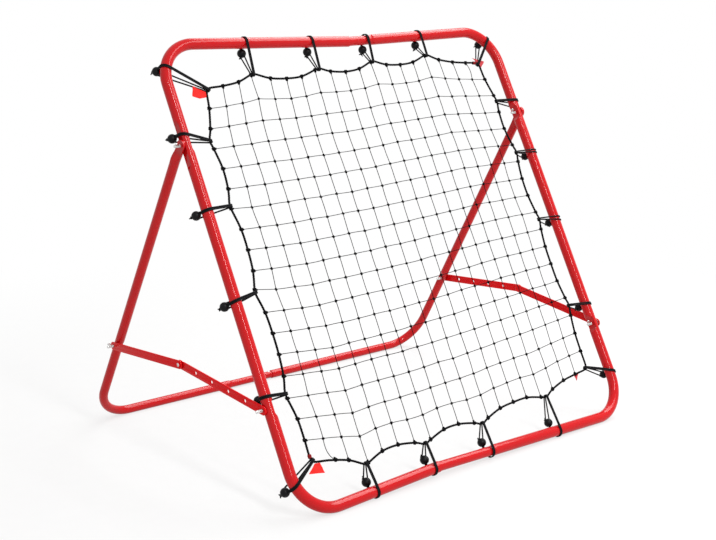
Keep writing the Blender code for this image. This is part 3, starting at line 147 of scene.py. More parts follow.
# Net, rope and elastics
NET_COLUMNS = 19
NET_ROWS = 18
TWINE_RADIUS = 0.00075
TWINE_BOW = 0.0005
END_BOW = 0.0003
UNEVEN_PLACE = 0.0007
UNEVEN_DEPTH = 0.0003
KNOT_SIZE = 0.002592
KNOT_CORD = 0.0011
KNOT_BODY = (0.0029, 0.0029, 0.0021)
TIE_WIDTH = 0.0052
TIE_TURNS = 2.6
TIE_KNOT_SIZE = 0.0020
TIE_KNOT_CORD = 0.0010
TIE_KNOT_PLACE = 0.0042
ROPE_RADIUS = 0.0024
ROPE_LAY = 0.0052
ROPE_STEP = 0.0014
END_TENT = 0.017
SIDE_TENT = 0.012
TENT_REACH = 0.025
TENT_TIP_RADIUS = 0.006
TENT_FADE = 0.050
ROPE_CORNER_CUT = 0.007
LOOP_KEEP_OUT = 0.006

# Strands that hang slack: how far their end lies along the rope, and their bow (across, up)
SLACK_STRANDS = {
    ("bottom", 1): (0.013, (-0.0065, -0.0045)),
    ("top", NET_COLUMNS - 1): (0.0, (0.0050, 0.0020)),
}
CORD_WIDE = 0.0017
CORD_DEEP = 0.0012
CORD_SPACING = 0.0017
BALL_SPREAD = 0.0062
BALL_RADIUS = 0.0095
BALL_BORE = 0.0028
TURN_AT_BALL = 0.0022
TAIL_KNOT_SIZE = 0.0022
TAIL_STEP = 0.0006

# Elastic loops of each side: place along the tube, place along the net, level of the net's edge there
LOOPS = {
    "top": [
        (-0.256, -0.2584, 0.892), (-0.0845, -0.0835, 0.895),
        (0.0728, 0.0731, 0.905), (0.2336, 0.2404, 0.913),
    ],
    "bottom": [
        (-0.290, -0.2902, 0.060), (-0.133, -0.1302, 0.063),
        (0.031, 0.0357, 0.067), (0.240, 0.2421, 0.081),
    ],
    "left": [
        (0.2343, 0.2319, -0.422), (0.4276, 0.4370, -0.418),
        (0.6133, 0.6172, -0.413), (0.7705, 0.7558, -0.412),
    ],
    "right": [
        (0.2591, 0.2663, 0.413), (0.4742, 0.4811, 0.4165),
        (0.6465, 0.6510, 0.420), (0.7795, 0.7844, 0.415),
    ],
}

# Places of the loops' balls from the middle of the tube: outward, and back
BALLS = {
    "top": [(-0.015, 0.018)] * 4,
    "bottom": [(-0.022, 0.018)] * 4,
    "left": [(0.002, 0.0235)] + [(0.016, 0.018)] * 3,
    "right": [(0.0018, 0.024), (0.003, 0.024), (0.003, 0.024), (0.016, 0.018)],
}
RIGHT_SPREADS = [0.0018, 0.0042, 0.0032, 0.0017]

# Loops at the corners: their ball, and the angle in degrees or the height at which they grip the tube
CORNER_BALLS = {
    "top_left": (0.010, 0.021),
    "top_right": (0.006, 0.026),
    "bottom_left": (0.013, 0.021),
    "bottom_right": (0.004, 0.0235),
}
CORNER_ANGLES = {"top_left": 157, "top_right": 43, "bottom_left": 196}
BOTTOM_RIGHT_PLACE = 0.0932
NET_CORNERS = {
    "top_left": (-0.3824, 0.8674),
    "top_right": (0.3982, 0.8849),
    "bottom_left": (-0.4129, 0.0936),
    "bottom_right": (0.3978, 0.1146),
}

# Scraps of strap at the corners, their outlines measured from the net's corner
TAB_HALF = 0.0006
TAB_OUTLINES = {
    "top_left": [
        (-0.0303, 0.0073), (-0.0045, -0.0074), (-0.0057, -0.0182),
        (-0.0221, -0.0205), (-0.0376, -0.0140),
    ],
    "top_right": [
        (-0.0136, 0.0138), (-0.0038, 0.0025), (0.0032, -0.0049),
        (0.0038, -0.0133), (0.0221, 0.0029), (0.0116, 0.0061),
    ],
    "bottom_left": [(0.0069, -0.0044), (0.0184, -0.0058), (0.0228, -0.0268), (-0.0134, -0.0205)],
    "bottom_right": [(-0.0475, -0.0077), (-0.0318, -0.0059), (-0.0453, -0.0197)],
}

# Rendering detail
TUBE_SIDES = 48
CORNER_STEPS = 28

# Share of the floor's own white near the object, and the distances over which it grows to full white
FLOOR_GLOW = 0.70
GLOW_START = 0.8
GLOW_END = 1.9
FLOOR_SIZE = 40.0

# Lamps that shine straight down: name, place, width and length, power
LAMPS = (
    ("overhead_softbox", (2.2, -0.3, 3.3), (1.7, 5.2), 200.0),
    ("front_strip", (-0.5, -4.2, 3.3), (0.45, 4.2), 190.0),
)

# Light that comes from all round
ROOM_LIGHT = 0.74
ROOM_TINT = (1.0, 0.98, 0.97, 1.0)

# Colours: the blacks of the cords, then each paint and strap
CORD_BLACK = (0.005, 0.005, 0.006, 1.0)
# Painted shade: the cords' grooves between strands take this darker black.
SHADED_GROOVE_BLACK = (0.001, 0.001, 0.0015, 1.0)
CROWN_BLACK = (0.006, 0.006, 0.007, 1.0)
TUBE_RED = (0.45, 0.004, 0.006, 1.0)
# The bars' red is the tubes' paint made lighter, with less gloss, to suit the light on the bars: a lit copy
# of one paint.
LIT_BAR_RED = (0.62, 0.004, 0.006, 1.0)
STRAP_RED = (0.88, 0.024, 0.020, 1.0)
# A duller, paler red, used for the two right-hand tabs.
DULL_RED = (0.50, 0.050, 0.060, 1.0)
# The bindings' red is the strap's red darkened: painted shade.
SHADED_BINDING_RED = (0.26, 0.012, 0.014, 1.0)

# Camera
CAMERA_PLACE = (-1.8154, -1.7628, 1.0027)
CAMERA_YAW = math.radians(40.025)
CAMERA_PITCH = math.radians(13.157)
FOCAL_PIXELS = 1280.7
PHOTO_WIDTH = 716
SENSOR_WIDTH = 36.0

# What follows from the sizes above. Places are pairs of y and z
PIVOT = (
    PIVOT_DISTANCE * math.sin(FRONT_LEAN),
    PIVOT_DISTANCE * math.cos(FRONT_LEAN) + FRONT_AXIS_Z,
)
FRONT_BRACE = (
    FRONT_BRACE_DISTANCE * math.sin(FRONT_LEAN),
    FRONT_BRACE_DISTANCE * math.cos(FRONT_LEAN) + FRONT_AXIS_Z,
)
LEG_LENGTH = (PIVOT[1] - REAR_AXIS_Z) / math.cos(REAR_LEAN)
STAND_DEPTH = PIVOT[0] + LEG_LENGTH * math.sin(REAR_LEAN)
REAR_BRACE = (
    STAND_DEPTH - REAR_BRACE_DISTANCE * math.sin(REAR_LEAN),
    REAR_AXIS_Z + REAR_BRACE_DISTANCE * math.cos(REAR_LEAN),
)
BRACE_SPAN = math.dist(FRONT_BRACE, REAR_BRACE)
BRACE_SLOPE = math.atan2(REAR_BRACE[1] - FRONT_BRACE[1], REAR_BRACE[0] - FRONT_BRACE[0])
BAR_LENGTH = math.hypot(BRACE_SPAN / 2, BRACE_RISE)
BAR_ANGLE = math.atan2(BRACE_RISE, BRACE_SPAN / 2)
SHIFT = Vector((0.00565, -0.371134, 0.0))
SIDES = {"left": -1, "right": 1}

chance = random.Random(7)


# Node materials

class Look:
    """A material with a Principled shader, and short ways to add nodes to it."""

    def __init__(self, name, colour, roughness, specular=0.5, metallic=0.0):
        self.material = bpy.data.materials.new(name)
        self.material.use_nodes = True
        self.tree = self.material.node_tree
        self.shader = self.tree.nodes["Principled BSDF"]
        self.set("Base Color", colour)
        self.set("Roughness", roughness)
        self.set("Specular IOR Level", specular)
        self.set("Metallic", metallic)
        self.material.diffuse_color = colour

    def set(self, socket, value):
        self.shader.inputs[socket].default_value = value

    def node(self, kind, **values):
        made = self.tree.nodes.new(kind)
        for key, value in values.items():
            if hasattr(made, key):
                setattr(made, key, value)
            else:
                made.inputs[key].default_value = value
        return made

    def link(self, source, target):
        self.tree.links.new(source, target)

    def through(self, source, made, socket, output):
        """Feeds a value into a node and gives the node's output."""
        self.link(source, made.inputs[socket])
        return made.outputs[output]

    def coordinates(self, uv=False):
        if uv:
            return self.node("ShaderNodeUVMap", uv_map="Run").outputs["UV"]
        return self.node("ShaderNodeTexCoord").outputs["Object"]

    def mapped(self, vector, scale=(1.0, 1.0, 1.0), turn=0.0):
        made = self.node("ShaderNodeMapping", Scale=scale, Rotation=(0.0, 0.0, turn))
        return self.through(vector, made, "Vector", "Vector")

    def noise(self, vector, scale, detail=3.0):
        made = self.node("ShaderNodeTexNoise", Scale=scale, Detail=detail, Roughness=0.55)
        return self.through(vector, made, "Vector", "Fac")

    def wave(self, vector, scale):
        made = self.node("ShaderNodeTexWave", Scale=scale, wave_profile="SIN")
        return self.through(vector, made, "Vector", "Fac")

    def spread(self, factor, low, high, **values):
        made = self.node("ShaderNodeMapRange", **values)
        made.inputs["To Min"].default_value = low
        made.inputs["To Max"].default_value = high
        return self.through(factor, made, "Value", "Result")

    def math(self, operation, first, second):
        made = self.node("ShaderNodeMath", operation=operation)
        for socket, value in zip(made.inputs, (first, second)):
            if isinstance(value, float):
                socket.default_value = value
            else:
                self.link(value, socket)
        return made.outputs["Value"]

    def colours(self, factor, *stops):
        """The base colour follows a factor between two stops, each (place, colour)."""
        made = self.node("ShaderNodeValToRGB")
        for element, (place, colour) in zip(made.color_ramp.elements, stops):
            element.position = place
            element.color = colour
        self.link(self.through(factor, made, "Fac", "Color"), self.shader.inputs["Base Color"])

    def rough(self, factor, low, high):
        self.link(self.spread(factor, low, high), self.shader.inputs["Roughness"])

    def bump(self, height, strength, distance):
        made = self.node("ShaderNodeBump", Strength=strength, Distance=distance)
        self.link(self.through(height, made, "Height", "Normal"), self.shader.inputs["Normal"])


def shade(colour, factor):
    return (colour[0] * factor, colour[1] * factor, colour[2] * factor, 1.0)


def red_paint(name, red, gloss):
    """Glossy powder coat: a faint orange peel, cloudy colour and a duller haze in places."""
    look = Look(name, red, 0.12, gloss)
    look.set("IOR", 1.42)
    place = look.coordinates()
    look.colours(look.noise(place, 9.0, 4.0), (0.30, shade(red, 0.95)), (0.70, shade(red, 1.04)))
    look.rough(look.noise(place, 38.0, 5.0), 0.10, 0.14)
    look.bump(look.noise(place, 90.0, 1.0), 0.002, 0.0001)
    return look.material


def zinc_steel():
    """Bright zinc plating with a cloudy, slightly brushed surface."""
    grey = (0.68, 0.68, 0.67, 1.0)
    look = Look("zinc_steel", grey, 0.30, metallic=1.0)
    place = look.coordinates()
    look.colours(look.noise(place, 260.0, 4.0), (0.30, shade(grey, 0.78)), (0.72, shade(grey, 1.12)))
    look.rough(look.noise(place, 700.0), 0.22, 0.44)
    look.bump(look.noise(place, 1500.0, 2.0), 0.15, 0.0002)
    return look.material


def twisted_cord(name, pitch, turn):
    """Black twisted fibre: fine diagonal strands whose grooves are darkened with painted shade, so their
    crowns read paler.
    """
    look = Look(name, CORD_BLACK, 0.75, 0.06)
    run = look.coordinates(uv=True)
    strands = look.wave(look.mapped(run, turn=turn), pitch)
    fibres = look.noise(look.mapped(run, (900.0, 220.0, 1.0)), 1.0)
    height = look.math("MULTIPLY", strands, look.spread(fibres, 0.7, 1.0))
    # Painted shade: the colour darkens into the grooves between the strands.
    look.colours(height, (0.1, SHADED_GROOVE_BLACK), (0.9, CROWN_BLACK))
    look.rough(fibres, 0.65, 0.9)
    look.bump(height, 0.6, 0.0003)
    return look.material


def braided_elastic():
    """The elastic's woven sleeve: two families of diagonal strands over each other."""
    look = Look("black_elastic", CORD_BLACK, 0.6, 0.08)
    run = look.coordinates(uv=True)
    first, second = [look.wave(look.mapped(run, turn=math.radians(lean)), 130.0) for lean in (55, -55)]
    height = look.math("MAXIMUM", first, second)
    # Painted shade: the colour darkens into the grooves between the crossing strands.
    look.colours(height, (0.25, SHADED_GROOVE_BLACK), (0.95, CROWN_BLACK))
    look.rough(look.noise(run, 300.0), 0.5, 0.75)
    look.bump(height, 0.5, 0.0003)
    return look.material


def black_plastic():
    """Moulded black plastic, satin, with a fine grain."""
    look = Look("black_plastic", (0.004, 0.004, 0.005, 1.0), 0.42, 0.14)
    place = look.coordinates()
    look.colours(look.noise(place, 90.0), (0.3, (0.002, 0.002, 0.003, 1.0)), (0.8, CORD_BLACK))
    look.rough(look.noise(place, 240.0), 0.34, 0.52)
    look.bump(look.noise(place, 2200.0), 0.12, 0.0002)
    return look.material


def woven_strap(name, red):
    """Woven strap: a plain weave of over and under threads, with painted shade where threads dip under."""
    look = Look(name, red, 0.8, 0.15)
    run = look.coordinates(uv=True)
    warp = look.wave(look.mapped(run, (1.0, 0.0, 0.0)), 260.0)
    weft = look.wave(look.mapped(run, (0.0, 1.0, 0.0), math.radians(90)), 260.0)
    weave = look.math("MULTIPLY", warp, look.wave(look.mapped(run, (0.0, 1.0, 0.0)), 260.0))
    height = look.math("MAXIMUM", weave, look.math("MULTIPLY", weft, 0.7))
    # Painted shade in the weave's low parts, and a faint painted highlight on the raised threads.
    look.colours(height, (0.1, shade(red, 0.72)), (0.8, shade(red, 1.08)))
    look.rough(look.noise(run, 500.0), 0.7, 0.92)
    look.bump(height, 0.5, 0.0003)
    return look.material


# Meshes

def linked(name, data):
    """An object of the scene made from a mesh, curve, lamp or camera."""
    item = bpy.data.objects.new(name, data)
    bpy.context.scene.collection.objects.link(item)
    return item


def finished(name, mesh, material, sharp):
    """An object of a mesh, shaded smooth but for the edges sharper than an angle."""
    mesh.shade_smooth()
    mesh.set_sharp_from_angle(angle=math.radians(sharp))
    mesh.materials.clear()
    mesh.materials.append(material)
    return linked(name, mesh)


def final_mesh(item):
    """A new mesh from an object, its modifiers or curve settings applied."""
    bpy.context.view_layer.update()
    return bpy.data.meshes.new_from_object(item.evaluated_get(bpy.context.evaluated_depsgraph_get()))


def circle(radius, sides):
    angles = [2 * math.pi * k / sides for k in range(sides)]
    return [(radius * math.cos(a), radius * math.sin(a)) for a in angles]


def axle_ring(x, radius, sides):
    """A ring of points about the X axis."""
    return [Vector((x, y, z)) for y, z in circle(radius, sides)]


class Shape:
    """Points, faces and a run of coordinates along them, gathered into one mesh."""

    def __init__(self):
        self.points = []
        self.faces = []
        self.runs = []

    def face(self, corners, runs=None):
        corners = tuple(corners)
        self.faces.append(corners)
        self.runs.extend(runs or [(0.0, 0.0)] * len(corners))

    def tube(self, rings, lengths=None, girth=0.0, closed=False):
        """Quads between rings of points. The run goes round the girth and along the lengths."""
        first = len(self.points)
        sides = len(rings[0])
        count = len(rings)
        lengths = lengths or [0.0] * (count + 1)
        for ring in rings:
            self.points.extend(ring)
        for i in range(count if closed else count - 1):
            a = first + i * sides
            b = first + (i + 1) % count * sides
            low = lengths[i]
            high = lengths[i + 1]
            for k in range(sides):
                j = (k + 1) % sides
                here = k / sides * girth
                there = (k + 1) / sides * girth
                runs = [(here, low), (there, low), (there, high), (here, high)]
                self.face((a + k, a + j, b + j, b + k), runs)
        if not closed:
            last = first + (count - 1) * sides
            self.face(reversed(range(first, first + sides)))
            self.face(range(last, last + sides))

    def cord(self, path, radius, sides, closed=False, lobes=0, twist=0.0, flat=0.0):
        """A round cord along a path. Lobes and twist make it a twisted rope."""
        count = len(path)
        lengths = [0.0]
        for i in range(1, count + (1 if closed else 0)):
            lengths.append(lengths[-1] + (path[i % count] - path[i - 1]).length)
        rings = []
        reference = Vector((0.31, 0.52, 0.79))
        for i, point in enumerate(path):
            before = path[i - 1] if closed or i else point
            after = path[(i + 1) % count] if closed or i + 1 < count else point
            heading = (after - before).normalized()
            side = reference - heading * reference.dot(heading)
            if side.length < 1e-4:
                side = heading.orthogonal()
            side.normalize()
            reference = side
            up = heading.cross(side)
            ring = []
            for k in range(sides):
                angle = 2 * math.pi * k / sides
                reach = radius * (1 + flat * math.cos(lobes * angle - twist * lengths[i]))
                ring.append(point + side * (reach * math.cos(angle)) + up * (reach * math.sin(angle)))
            rings.append(ring)
        self.tube(rings, lengths, 2 * math.pi * radius, closed)

    def oval_cord(self, path, wide, width, depth, sides):
        """A closed cord pressed oval: its long axis lies along the given direction."""
        lengths = [0.0]
        rings = []
        for i, point in enumerate(path):
            following = path[(i + 1) % len(path)]
            lengths.append(lengths[-1] + (following - point).length)
            heading = (following - path[i - 1]).normalized()
            side = (wide - heading * wide.dot(heading)).normalized()
            up = heading.cross(side)
            rings.append([point + side * (width * x) + up * (depth * y) for x, y in circle(1.0, sides)])
        self.tube(rings, lengths, math.pi * (width + depth), closed=True)

    def ball(self, centre, radii, turn):
        """A small ellipsoid with the given radii, turned by a matrix."""
        segments = 8
        bands = 6
        first = len(self.points)
        for i in range(1, bands):
            polar = math.pi * i / bands
            for x, y in circle(math.sin(polar), segments):
                spot = Vector((radii[0] * x, radii[1] * y, radii[2] * math.cos(polar)))
                self.points.append(centre + turn @ spot)
        top = len(self.points)
        self.points.append(centre + turn @ Vector((0, 0, radii[2])))
        self.points.append(centre + turn @ Vector((0, 0, -radii[2])))
        low = first + (bands - 2) * segments
        for k in range(segments):
            j = (k + 1) % segments
            for a in range(first, low, segments):
                self.face((a + k, a + segments + k, a + segments + j, a + j))
            self.face((top, first + k, first + j))
            self.face((top + 1, low + j, low + k))

    def build(self, name, material, sharp=40.0, fix_normals=True):
        mesh = bpy.data.meshes.new(name)
        mesh.from_pydata([tuple(p) for p in self.points], [], self.faces)
        layer = mesh.uv_layers.new(name="Run")
        layer.data.foreach_set("uv", np.array(self.runs, np.float32).ravel())
        if fix_normals:
            edit = bmesh.new()
            edit.from_mesh(mesh)
            bmesh.ops.recalc_face_normals(edit, faces=edit.faces)
            edit.to_mesh(mesh)
            edit.free()
        return finished(name, mesh, material, sharp)


def place(item, body, slot, *nodes):
    """Rides on a body and stands for the named solids, which it hides. The slot is not used."""
    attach(item, body)
    if nodes:
        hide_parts(*nodes)


# Planes of the two frames

def flat_front(u, v, n=0.0):
    """A point of the front frame about its own middle: u across, v up along the frame, n back."""
    y = v * math.sin(FRONT_LEAN) + n * math.cos(FRONT_LEAN)
    z = FRONT_AXIS_Z + v * math.cos(FRONT_LEAN) - n * math.sin(FRONT_LEAN)
    return Vector((u, y, z))


def flat_rear(u, t, n=0.0):
    """A point of the rear stand about its own middle: u across, t up along the legs, n back."""
    y = STAND_DEPTH - t * math.sin(REAR_LEAN) + n * math.cos(REAR_LEAN)
    z = REAR_AXIS_Z + t * math.cos(REAR_LEAN) + n * math.sin(REAR_LEAN)
    return Vector((u, y, z))


def front_point(u, v, n=0.0):
    return flat_front(u, v, n) + SHIFT


# The turn from the front frame's own directions, across, up and back, to the scene's
ACROSS = Vector((1, 0, 0))
UP_FRAME = flat_front(0, 1) - flat_front(0, 0)
FRONT_TURN = Matrix((ACROSS, UP_FRAME, ACROSS.cross(UP_FRAME))).transposed()


def front_heading(flat):
    """A direction in the front frame's plane, as one in space."""
    return (FRONT_TURN @ Vector((flat.x, flat.y, 0))).normalized()


def smooth_step(x):
    """0 below 0, 1 above 1, and smooth between."""
    x = min(max(x, 0.0), 1.0)
    return x * x * (3 - 2 * x)


def corner_arc(before, corner, after, radius, steps):
    """Points and directions of the round corner between two straight runs."""
    first = (corner - before).normalized()
    second = (after - corner).normalized()
    turn = first.angle_signed(second)
    start = corner - first * (radius * math.tan(abs(turn) / 2))
    side = Vector((first.y, -first.x)) * math.copysign(1, turn)
    centre = start + side * radius
    points = []
    for k in range(steps + 1):
        spin = Matrix.Rotation(-turn * k / steps, 2)
        points.append((centre + spin @ (start - centre), spin @ first))
    return points


def along(start, end, distance):
    return start + (end - start).normalized() * distance


def pressed(distance, length):
    """1 within a length of a pressed part's middle, falling to 0 over the taper."""
    return smooth_step((length + RECESS_TAPER - abs(distance)) / RECESS_TAPER)


def tube_ring(plane, centre, direction, radius, stretch=1.0, limits=None):
    """One ring of a tube. Limits press it flat across."""
    outward = Vector((-direction.y, direction.x))
    points = []
    for x, y in circle(radius, TUBE_SIDES):
        spot = centre + outward * x
        point = plane(spot.x, spot.y, stretch * y)
        if limits:
            point.x = min(max(point.x, limits[0]), limits[1])
        points.append(point)
    return points


def bend_rings(plane, before, corner, after, bend, radius):
    """Rings of a tube round a corner."""
    arc = corner_arc(before, corner, after, bend, CORNER_STEPS)
    return [tube_ring(plane, point, direction, radius) for point, direction in arc]


def tube_item(name, rings, mirrored, body):
    for point in [point for ring in rings for point in ring]:
        if mirrored:
            point.x = -point.x
        point += SHIFT
    shape = Shape()
    shape.tube(rings)
    place(shape.build(name, TUBE_PAINT, 32), body, "red_paint", name.replace("tube", "frame"))


def around(centre, length):
    """Places on both sides of a pressed part, close together where it tapers."""
    shares = (0.0, 0.12, 0.28, 0.44, 0.6, 0.76, 0.9, 1.0)
    reach = [length + RECESS_TAPER * share for share in shares]
    return [centre + r for r in reach] + [centre - r for r in reach]


def open_end(joint, corner, radius, wall):
    """An open tube end as (point, radius): the bore, the rim with its worn edge, and the outside."""
    bore = radius - wall
    edge = along(joint, corner, WORN_EDGE)
    return [
        (along(joint, corner, BORE_DEPTH), bore), (edge, bore), (joint, bore + WORN_EDGE),
        (joint, radius - WORN_EDGE), (edge, radius), (along(joint, corner, RIM_LENGTH), radius),
    ]


def neck_taper(joint, corner, length, neck, radius):
    """Where a reduced end widens to the full tube, as (point, radius)."""
    run = []
    for share in [k / 8 for k in range(9)]:
        spot = along(joint, corner, length + NECK_TAPER * share)
        run.append((spot, neck + (radius - neck) * smooth_step(share)))
    return run


# Front frame

def bottom_corner_height(run):
    """Height of a lower corner from which the rail just meets its own rise at the joint."""
    height = 0.0
    for _ in range(4):
        slope = math.atan2(BOTTOM_RISE - height, run)
        height = -FRONT_CORNER_RADIUS * math.tan((math.pi / 2 + slope) / 2) * math.sin(slope)
    return height


LINES = {
    "top_joint": Vector((TOP_JOINT_U, FRONT_TOP - TOP_DIP)),
    "top_right": Vector((FRONT_HALF, FRONT_TOP)),
    "top_left": Vector((-FRONT_HALF, FRONT_TOP)),
    "bottom_right": Vector((FRONT_HALF, bottom_corner_height(FRONT_HALF - BOTTOM_JOINT_U))),
    "bottom_left": Vector((-FRONT_HALF, bottom_corner_height(FRONT_HALF + BOTTOM_JOINT_U))),
    "bottom_joint": Vector((BOTTOM_JOINT_U, BOTTOM_RISE)),
}


def front_limits(v):
    """Inner and outer limit of a side tube, pressed flat at its two bolts."""
    flat = pressed(v - PIVOT_DISTANCE, PIVOT_FLAT_LENGTH)
    high = pressed(v - PIVOT_DISTANCE, RECESS_LENGTH)
    low = pressed(v - FRONT_BRACE_DISTANCE, RECESS_LENGTH)
    outer = FRONT_RADIUS + (PIVOT_FLAT - FRONT_RADIUS) * flat
    inner = -FRONT_RADIUS + (PIVOT_RECESS + FRONT_RADIUS) * high + (BRACE_RECESS + FRONT_RADIUS) * low
    return FRONT_HALF + inner, FRONT_HALF + outer


def neck_end(joint, own_corner, far_corner, length):
    """A reduced end as (point, radius): from inside the other half, over the joint, to the full tube."""
    kink = along(joint, own_corner, NECK_KINK)
    run = [(along(kink, far_corner, NECK_INSERT), NECK_RADIUS), (kink, NECK_RADIUS)]
    return run + neck_taper(joint, own_corner, length, NECK_RADIUS, FRONT_RADIUS)


def run_rings(run, corner, kinked):
    """Rings of a run of (point, radius) that leads up to a corner, kinked at its second point or not."""
    rings = []
    for k, (point, radius) in enumerate(run):
        ahead = corner - run[min(k + 1, len(run) - 1)][0]
        if kinked and k == 0:
            ahead = run[1][0] - point
        if kinked and k == 1:
            ahead = (corner - point).normalized() + (point - run[0][0]).normalized()
        rings.append(tube_ring(flat_front, point, ahead.normalized(), radius))
    return rings


def front_half(name, mirrored):
    """One half of the front frame, made on the right. The left one is mirrored when it is done."""
    lines = LINES
    side, far = "right", "left"
    if mirrored:
        lines = {key: Vector((-point.x, point.y)) for key, point in LINES.items()}
        side, far = far, side
    corners = []
    runs = []
    for height, length in (("top", TOP_NECK_LENGTH), ("bottom", BOTTOM_NECK_LENGTH)):
        joint = lines[height + "_joint"]
        corner = lines[f"{height}_{side}"]
        corners.append(corner)
        if mirrored:
            runs.append(open_end(joint, corner, FRONT_RADIUS, FRONT_WALL))
        else:
            runs.append(neck_end(joint, corner, lines[f"{height}_{far}"], length))
    top, bottom = corners
    rings = run_rings(runs[0], top, not mirrored)
    rings += bend_rings(flat_front, runs[0][-1][0], top, bottom, FRONT_CORNER_RADIUS, FRONT_RADIUS)
    places = around(PIVOT_DISTANCE, PIVOT_FLAT_LENGTH) + around(PIVOT_DISTANCE, RECESS_LENGTH)
    places += around(FRONT_BRACE_DISTANCE, RECESS_LENGTH)
    down = Vector((0, -1))
    for v in sorted(places, reverse=True):
        rings.append(tube_ring(flat_front, Vector((FRONT_HALF, v)), down, FRONT_RADIUS, 1.0, front_limits(v)))
    rings += bend_rings(flat_front, top, bottom, runs[1][-1][0], FRONT_CORNER_RADIUS, FRONT_RADIUS)
    for ring in reversed(run_rings(runs[1], bottom, not mirrored)):
        # The run was made towards the corner, so its rings turn the other way round.
        rings.append([ring[(TUBE_SIDES // 2 - k) % TUBE_SIDES] for k in range(TUBE_SIDES)])
    tube_item(name, rings, mirrored, "front_frame")


# Rear stand

def leg_u(t):
    return FRONT_HALF + SPREAD_AT_FLOOR + (SPREAD_AT_PIVOT - SPREAD_AT_FLOOR) * t / LEG_LENGTH


def leg_ring(t):
    """A ring of a leg at its own place: pressed at the brace's bolt, and to a flat spade at its upper end."""
    below = LEG_LENGTH - t
    press = smooth_step((SPADE_TAPER_START - below) / (SPADE_TAPER_START - SPADE_START))
    inner = leg_u(t) - REAR_RADIUS
    inner += (FRONT_HALF + SPADE_INNER - inner) * pressed(below, PIVOT_FLAT_LENGTH)
    inner += (FRONT_HALF + LEG_RECESS - inner) * pressed(t - REAR_BRACE_DISTANCE, RECESS_LENGTH)
    outer = leg_u(t) + REAR_RADIUS
    outer += (FRONT_HALF + SPADE_OUTER - outer) * press
    stretch = 1 + (SPADE_RADIUS / REAR_RADIUS - 1) * press
    if below < 0:
        stretch *= math.sqrt(max(1 - (below / SPADE_RADIUS) ** 2, 0.0))
    direction = Vector((leg_u(LEG_LENGTH) - leg_u(0), LEG_LENGTH)).normalized()
    return tube_ring(flat_rear, Vector((leg_u(t), t)), -direction, REAR_RADIUS, stretch, (inner, outer))


def rear_half(name, mirrored):
    """One half of the rear stand, made on the right. The left one is mirrored when it is done."""
    corner = Vector((FRONT_HALF + SPREAD_AT_FLOOR, 0))
    top = Vector((leg_u(LEG_LENGTH), LEG_LENGTH))
    joint = Vector((-REAR_JOINT_U if mirrored else REAR_JOINT_U, 0))
    places = [LEG_LENGTH + SPADE_RADIUS * math.sin(math.radians(a)) for a in (86, 76, 64, 52, 40, 28, 14)]
    places += [LEG_LENGTH - SPADE_TAPER_START * k / 10 for k in range(11)]
    places += [t for t in around(LEG_LENGTH, PIVOT_FLAT_LENGTH) if t < LEG_LENGTH]
    places += around(REAR_BRACE_DISTANCE, RECESS_LENGTH)
    rings = [leg_ring(t) for t in sorted(places, reverse=True)]
    rings += bend_rings(flat_rear, top, corner, joint, REAR_CORNER_RADIUS, REAR_RADIUS)
    if mirrored:
        run = [(along(joint, corner, -NECK_INSERT), REAR_NECK_RADIUS)]
        run += neck_taper(joint, corner, REAR_NECK_LENGTH, REAR_NECK_RADIUS, REAR_RADIUS)
    else:
        run = open_end(joint, corner, REAR_RADIUS, REAR_WALL)
    rings += [tube_ring(flat_rear, point, Vector((-1, 0)), radius) for point, radius in reversed(run)]
    tube_item(name, rings, mirrored, "rear_stand")


# Braces and fasteners

def outline_mesh(outline, holes, thickness, edge):
    """A flat plate with rounded edges from an outline and round holes."""
    curve = bpy.data.curves.new("plate", "CURVE")
    curve.dimensions = "2D"
    curve.fill_mode = "BOTH"
    curve.extrude = thickness / 2 - edge
    curve.bevel_depth = edge
    curve.bevel_resolution = 2
    curve.offset = -edge
    lines = [outline]
    for middle, radius in holes:
        lines.append([(middle + x, y) for x, y in circle(radius, HOLE_SIDES)])
    for points in lines:
        spline = curve.splines.new("POLY")
        spline.points.add(len(points) - 1)
        for point, (x, y) in zip(spline.points, points):
            point.co = (x, y, 0, 1)
        spline.use_cyclic_u = True
    item = linked("plate", curve)
    mesh = final_mesh(item)
    bpy.data.objects.remove(item)
    return mesh


def mesh_item(name, mesh, matrix, material):
    """An object from a mesh, its places made final, joined where its points meet."""
    edit = bmesh.new()
    edit.from_mesh(mesh)
    bmesh.ops.remove_doubles(edit, verts=edit.verts, dist=1e-6)
    bmesh.ops.transform(edit, matrix=matrix, verts=edit.verts)
    bmesh.ops.recalc_face_normals(edit, faces=edit.faces)
    made = bpy.data.meshes.new(name)
    edit.to_mesh(made)
    edit.free()
    return finished(name, made, material, 32)


def combine(item, other, operation):
    """Adds a boolean with another object to an item."""
    made = item.modifiers.new(operation, "BOOLEAN")
    made.object = other
    made.operation = operation
    made.solver = "EXACT"


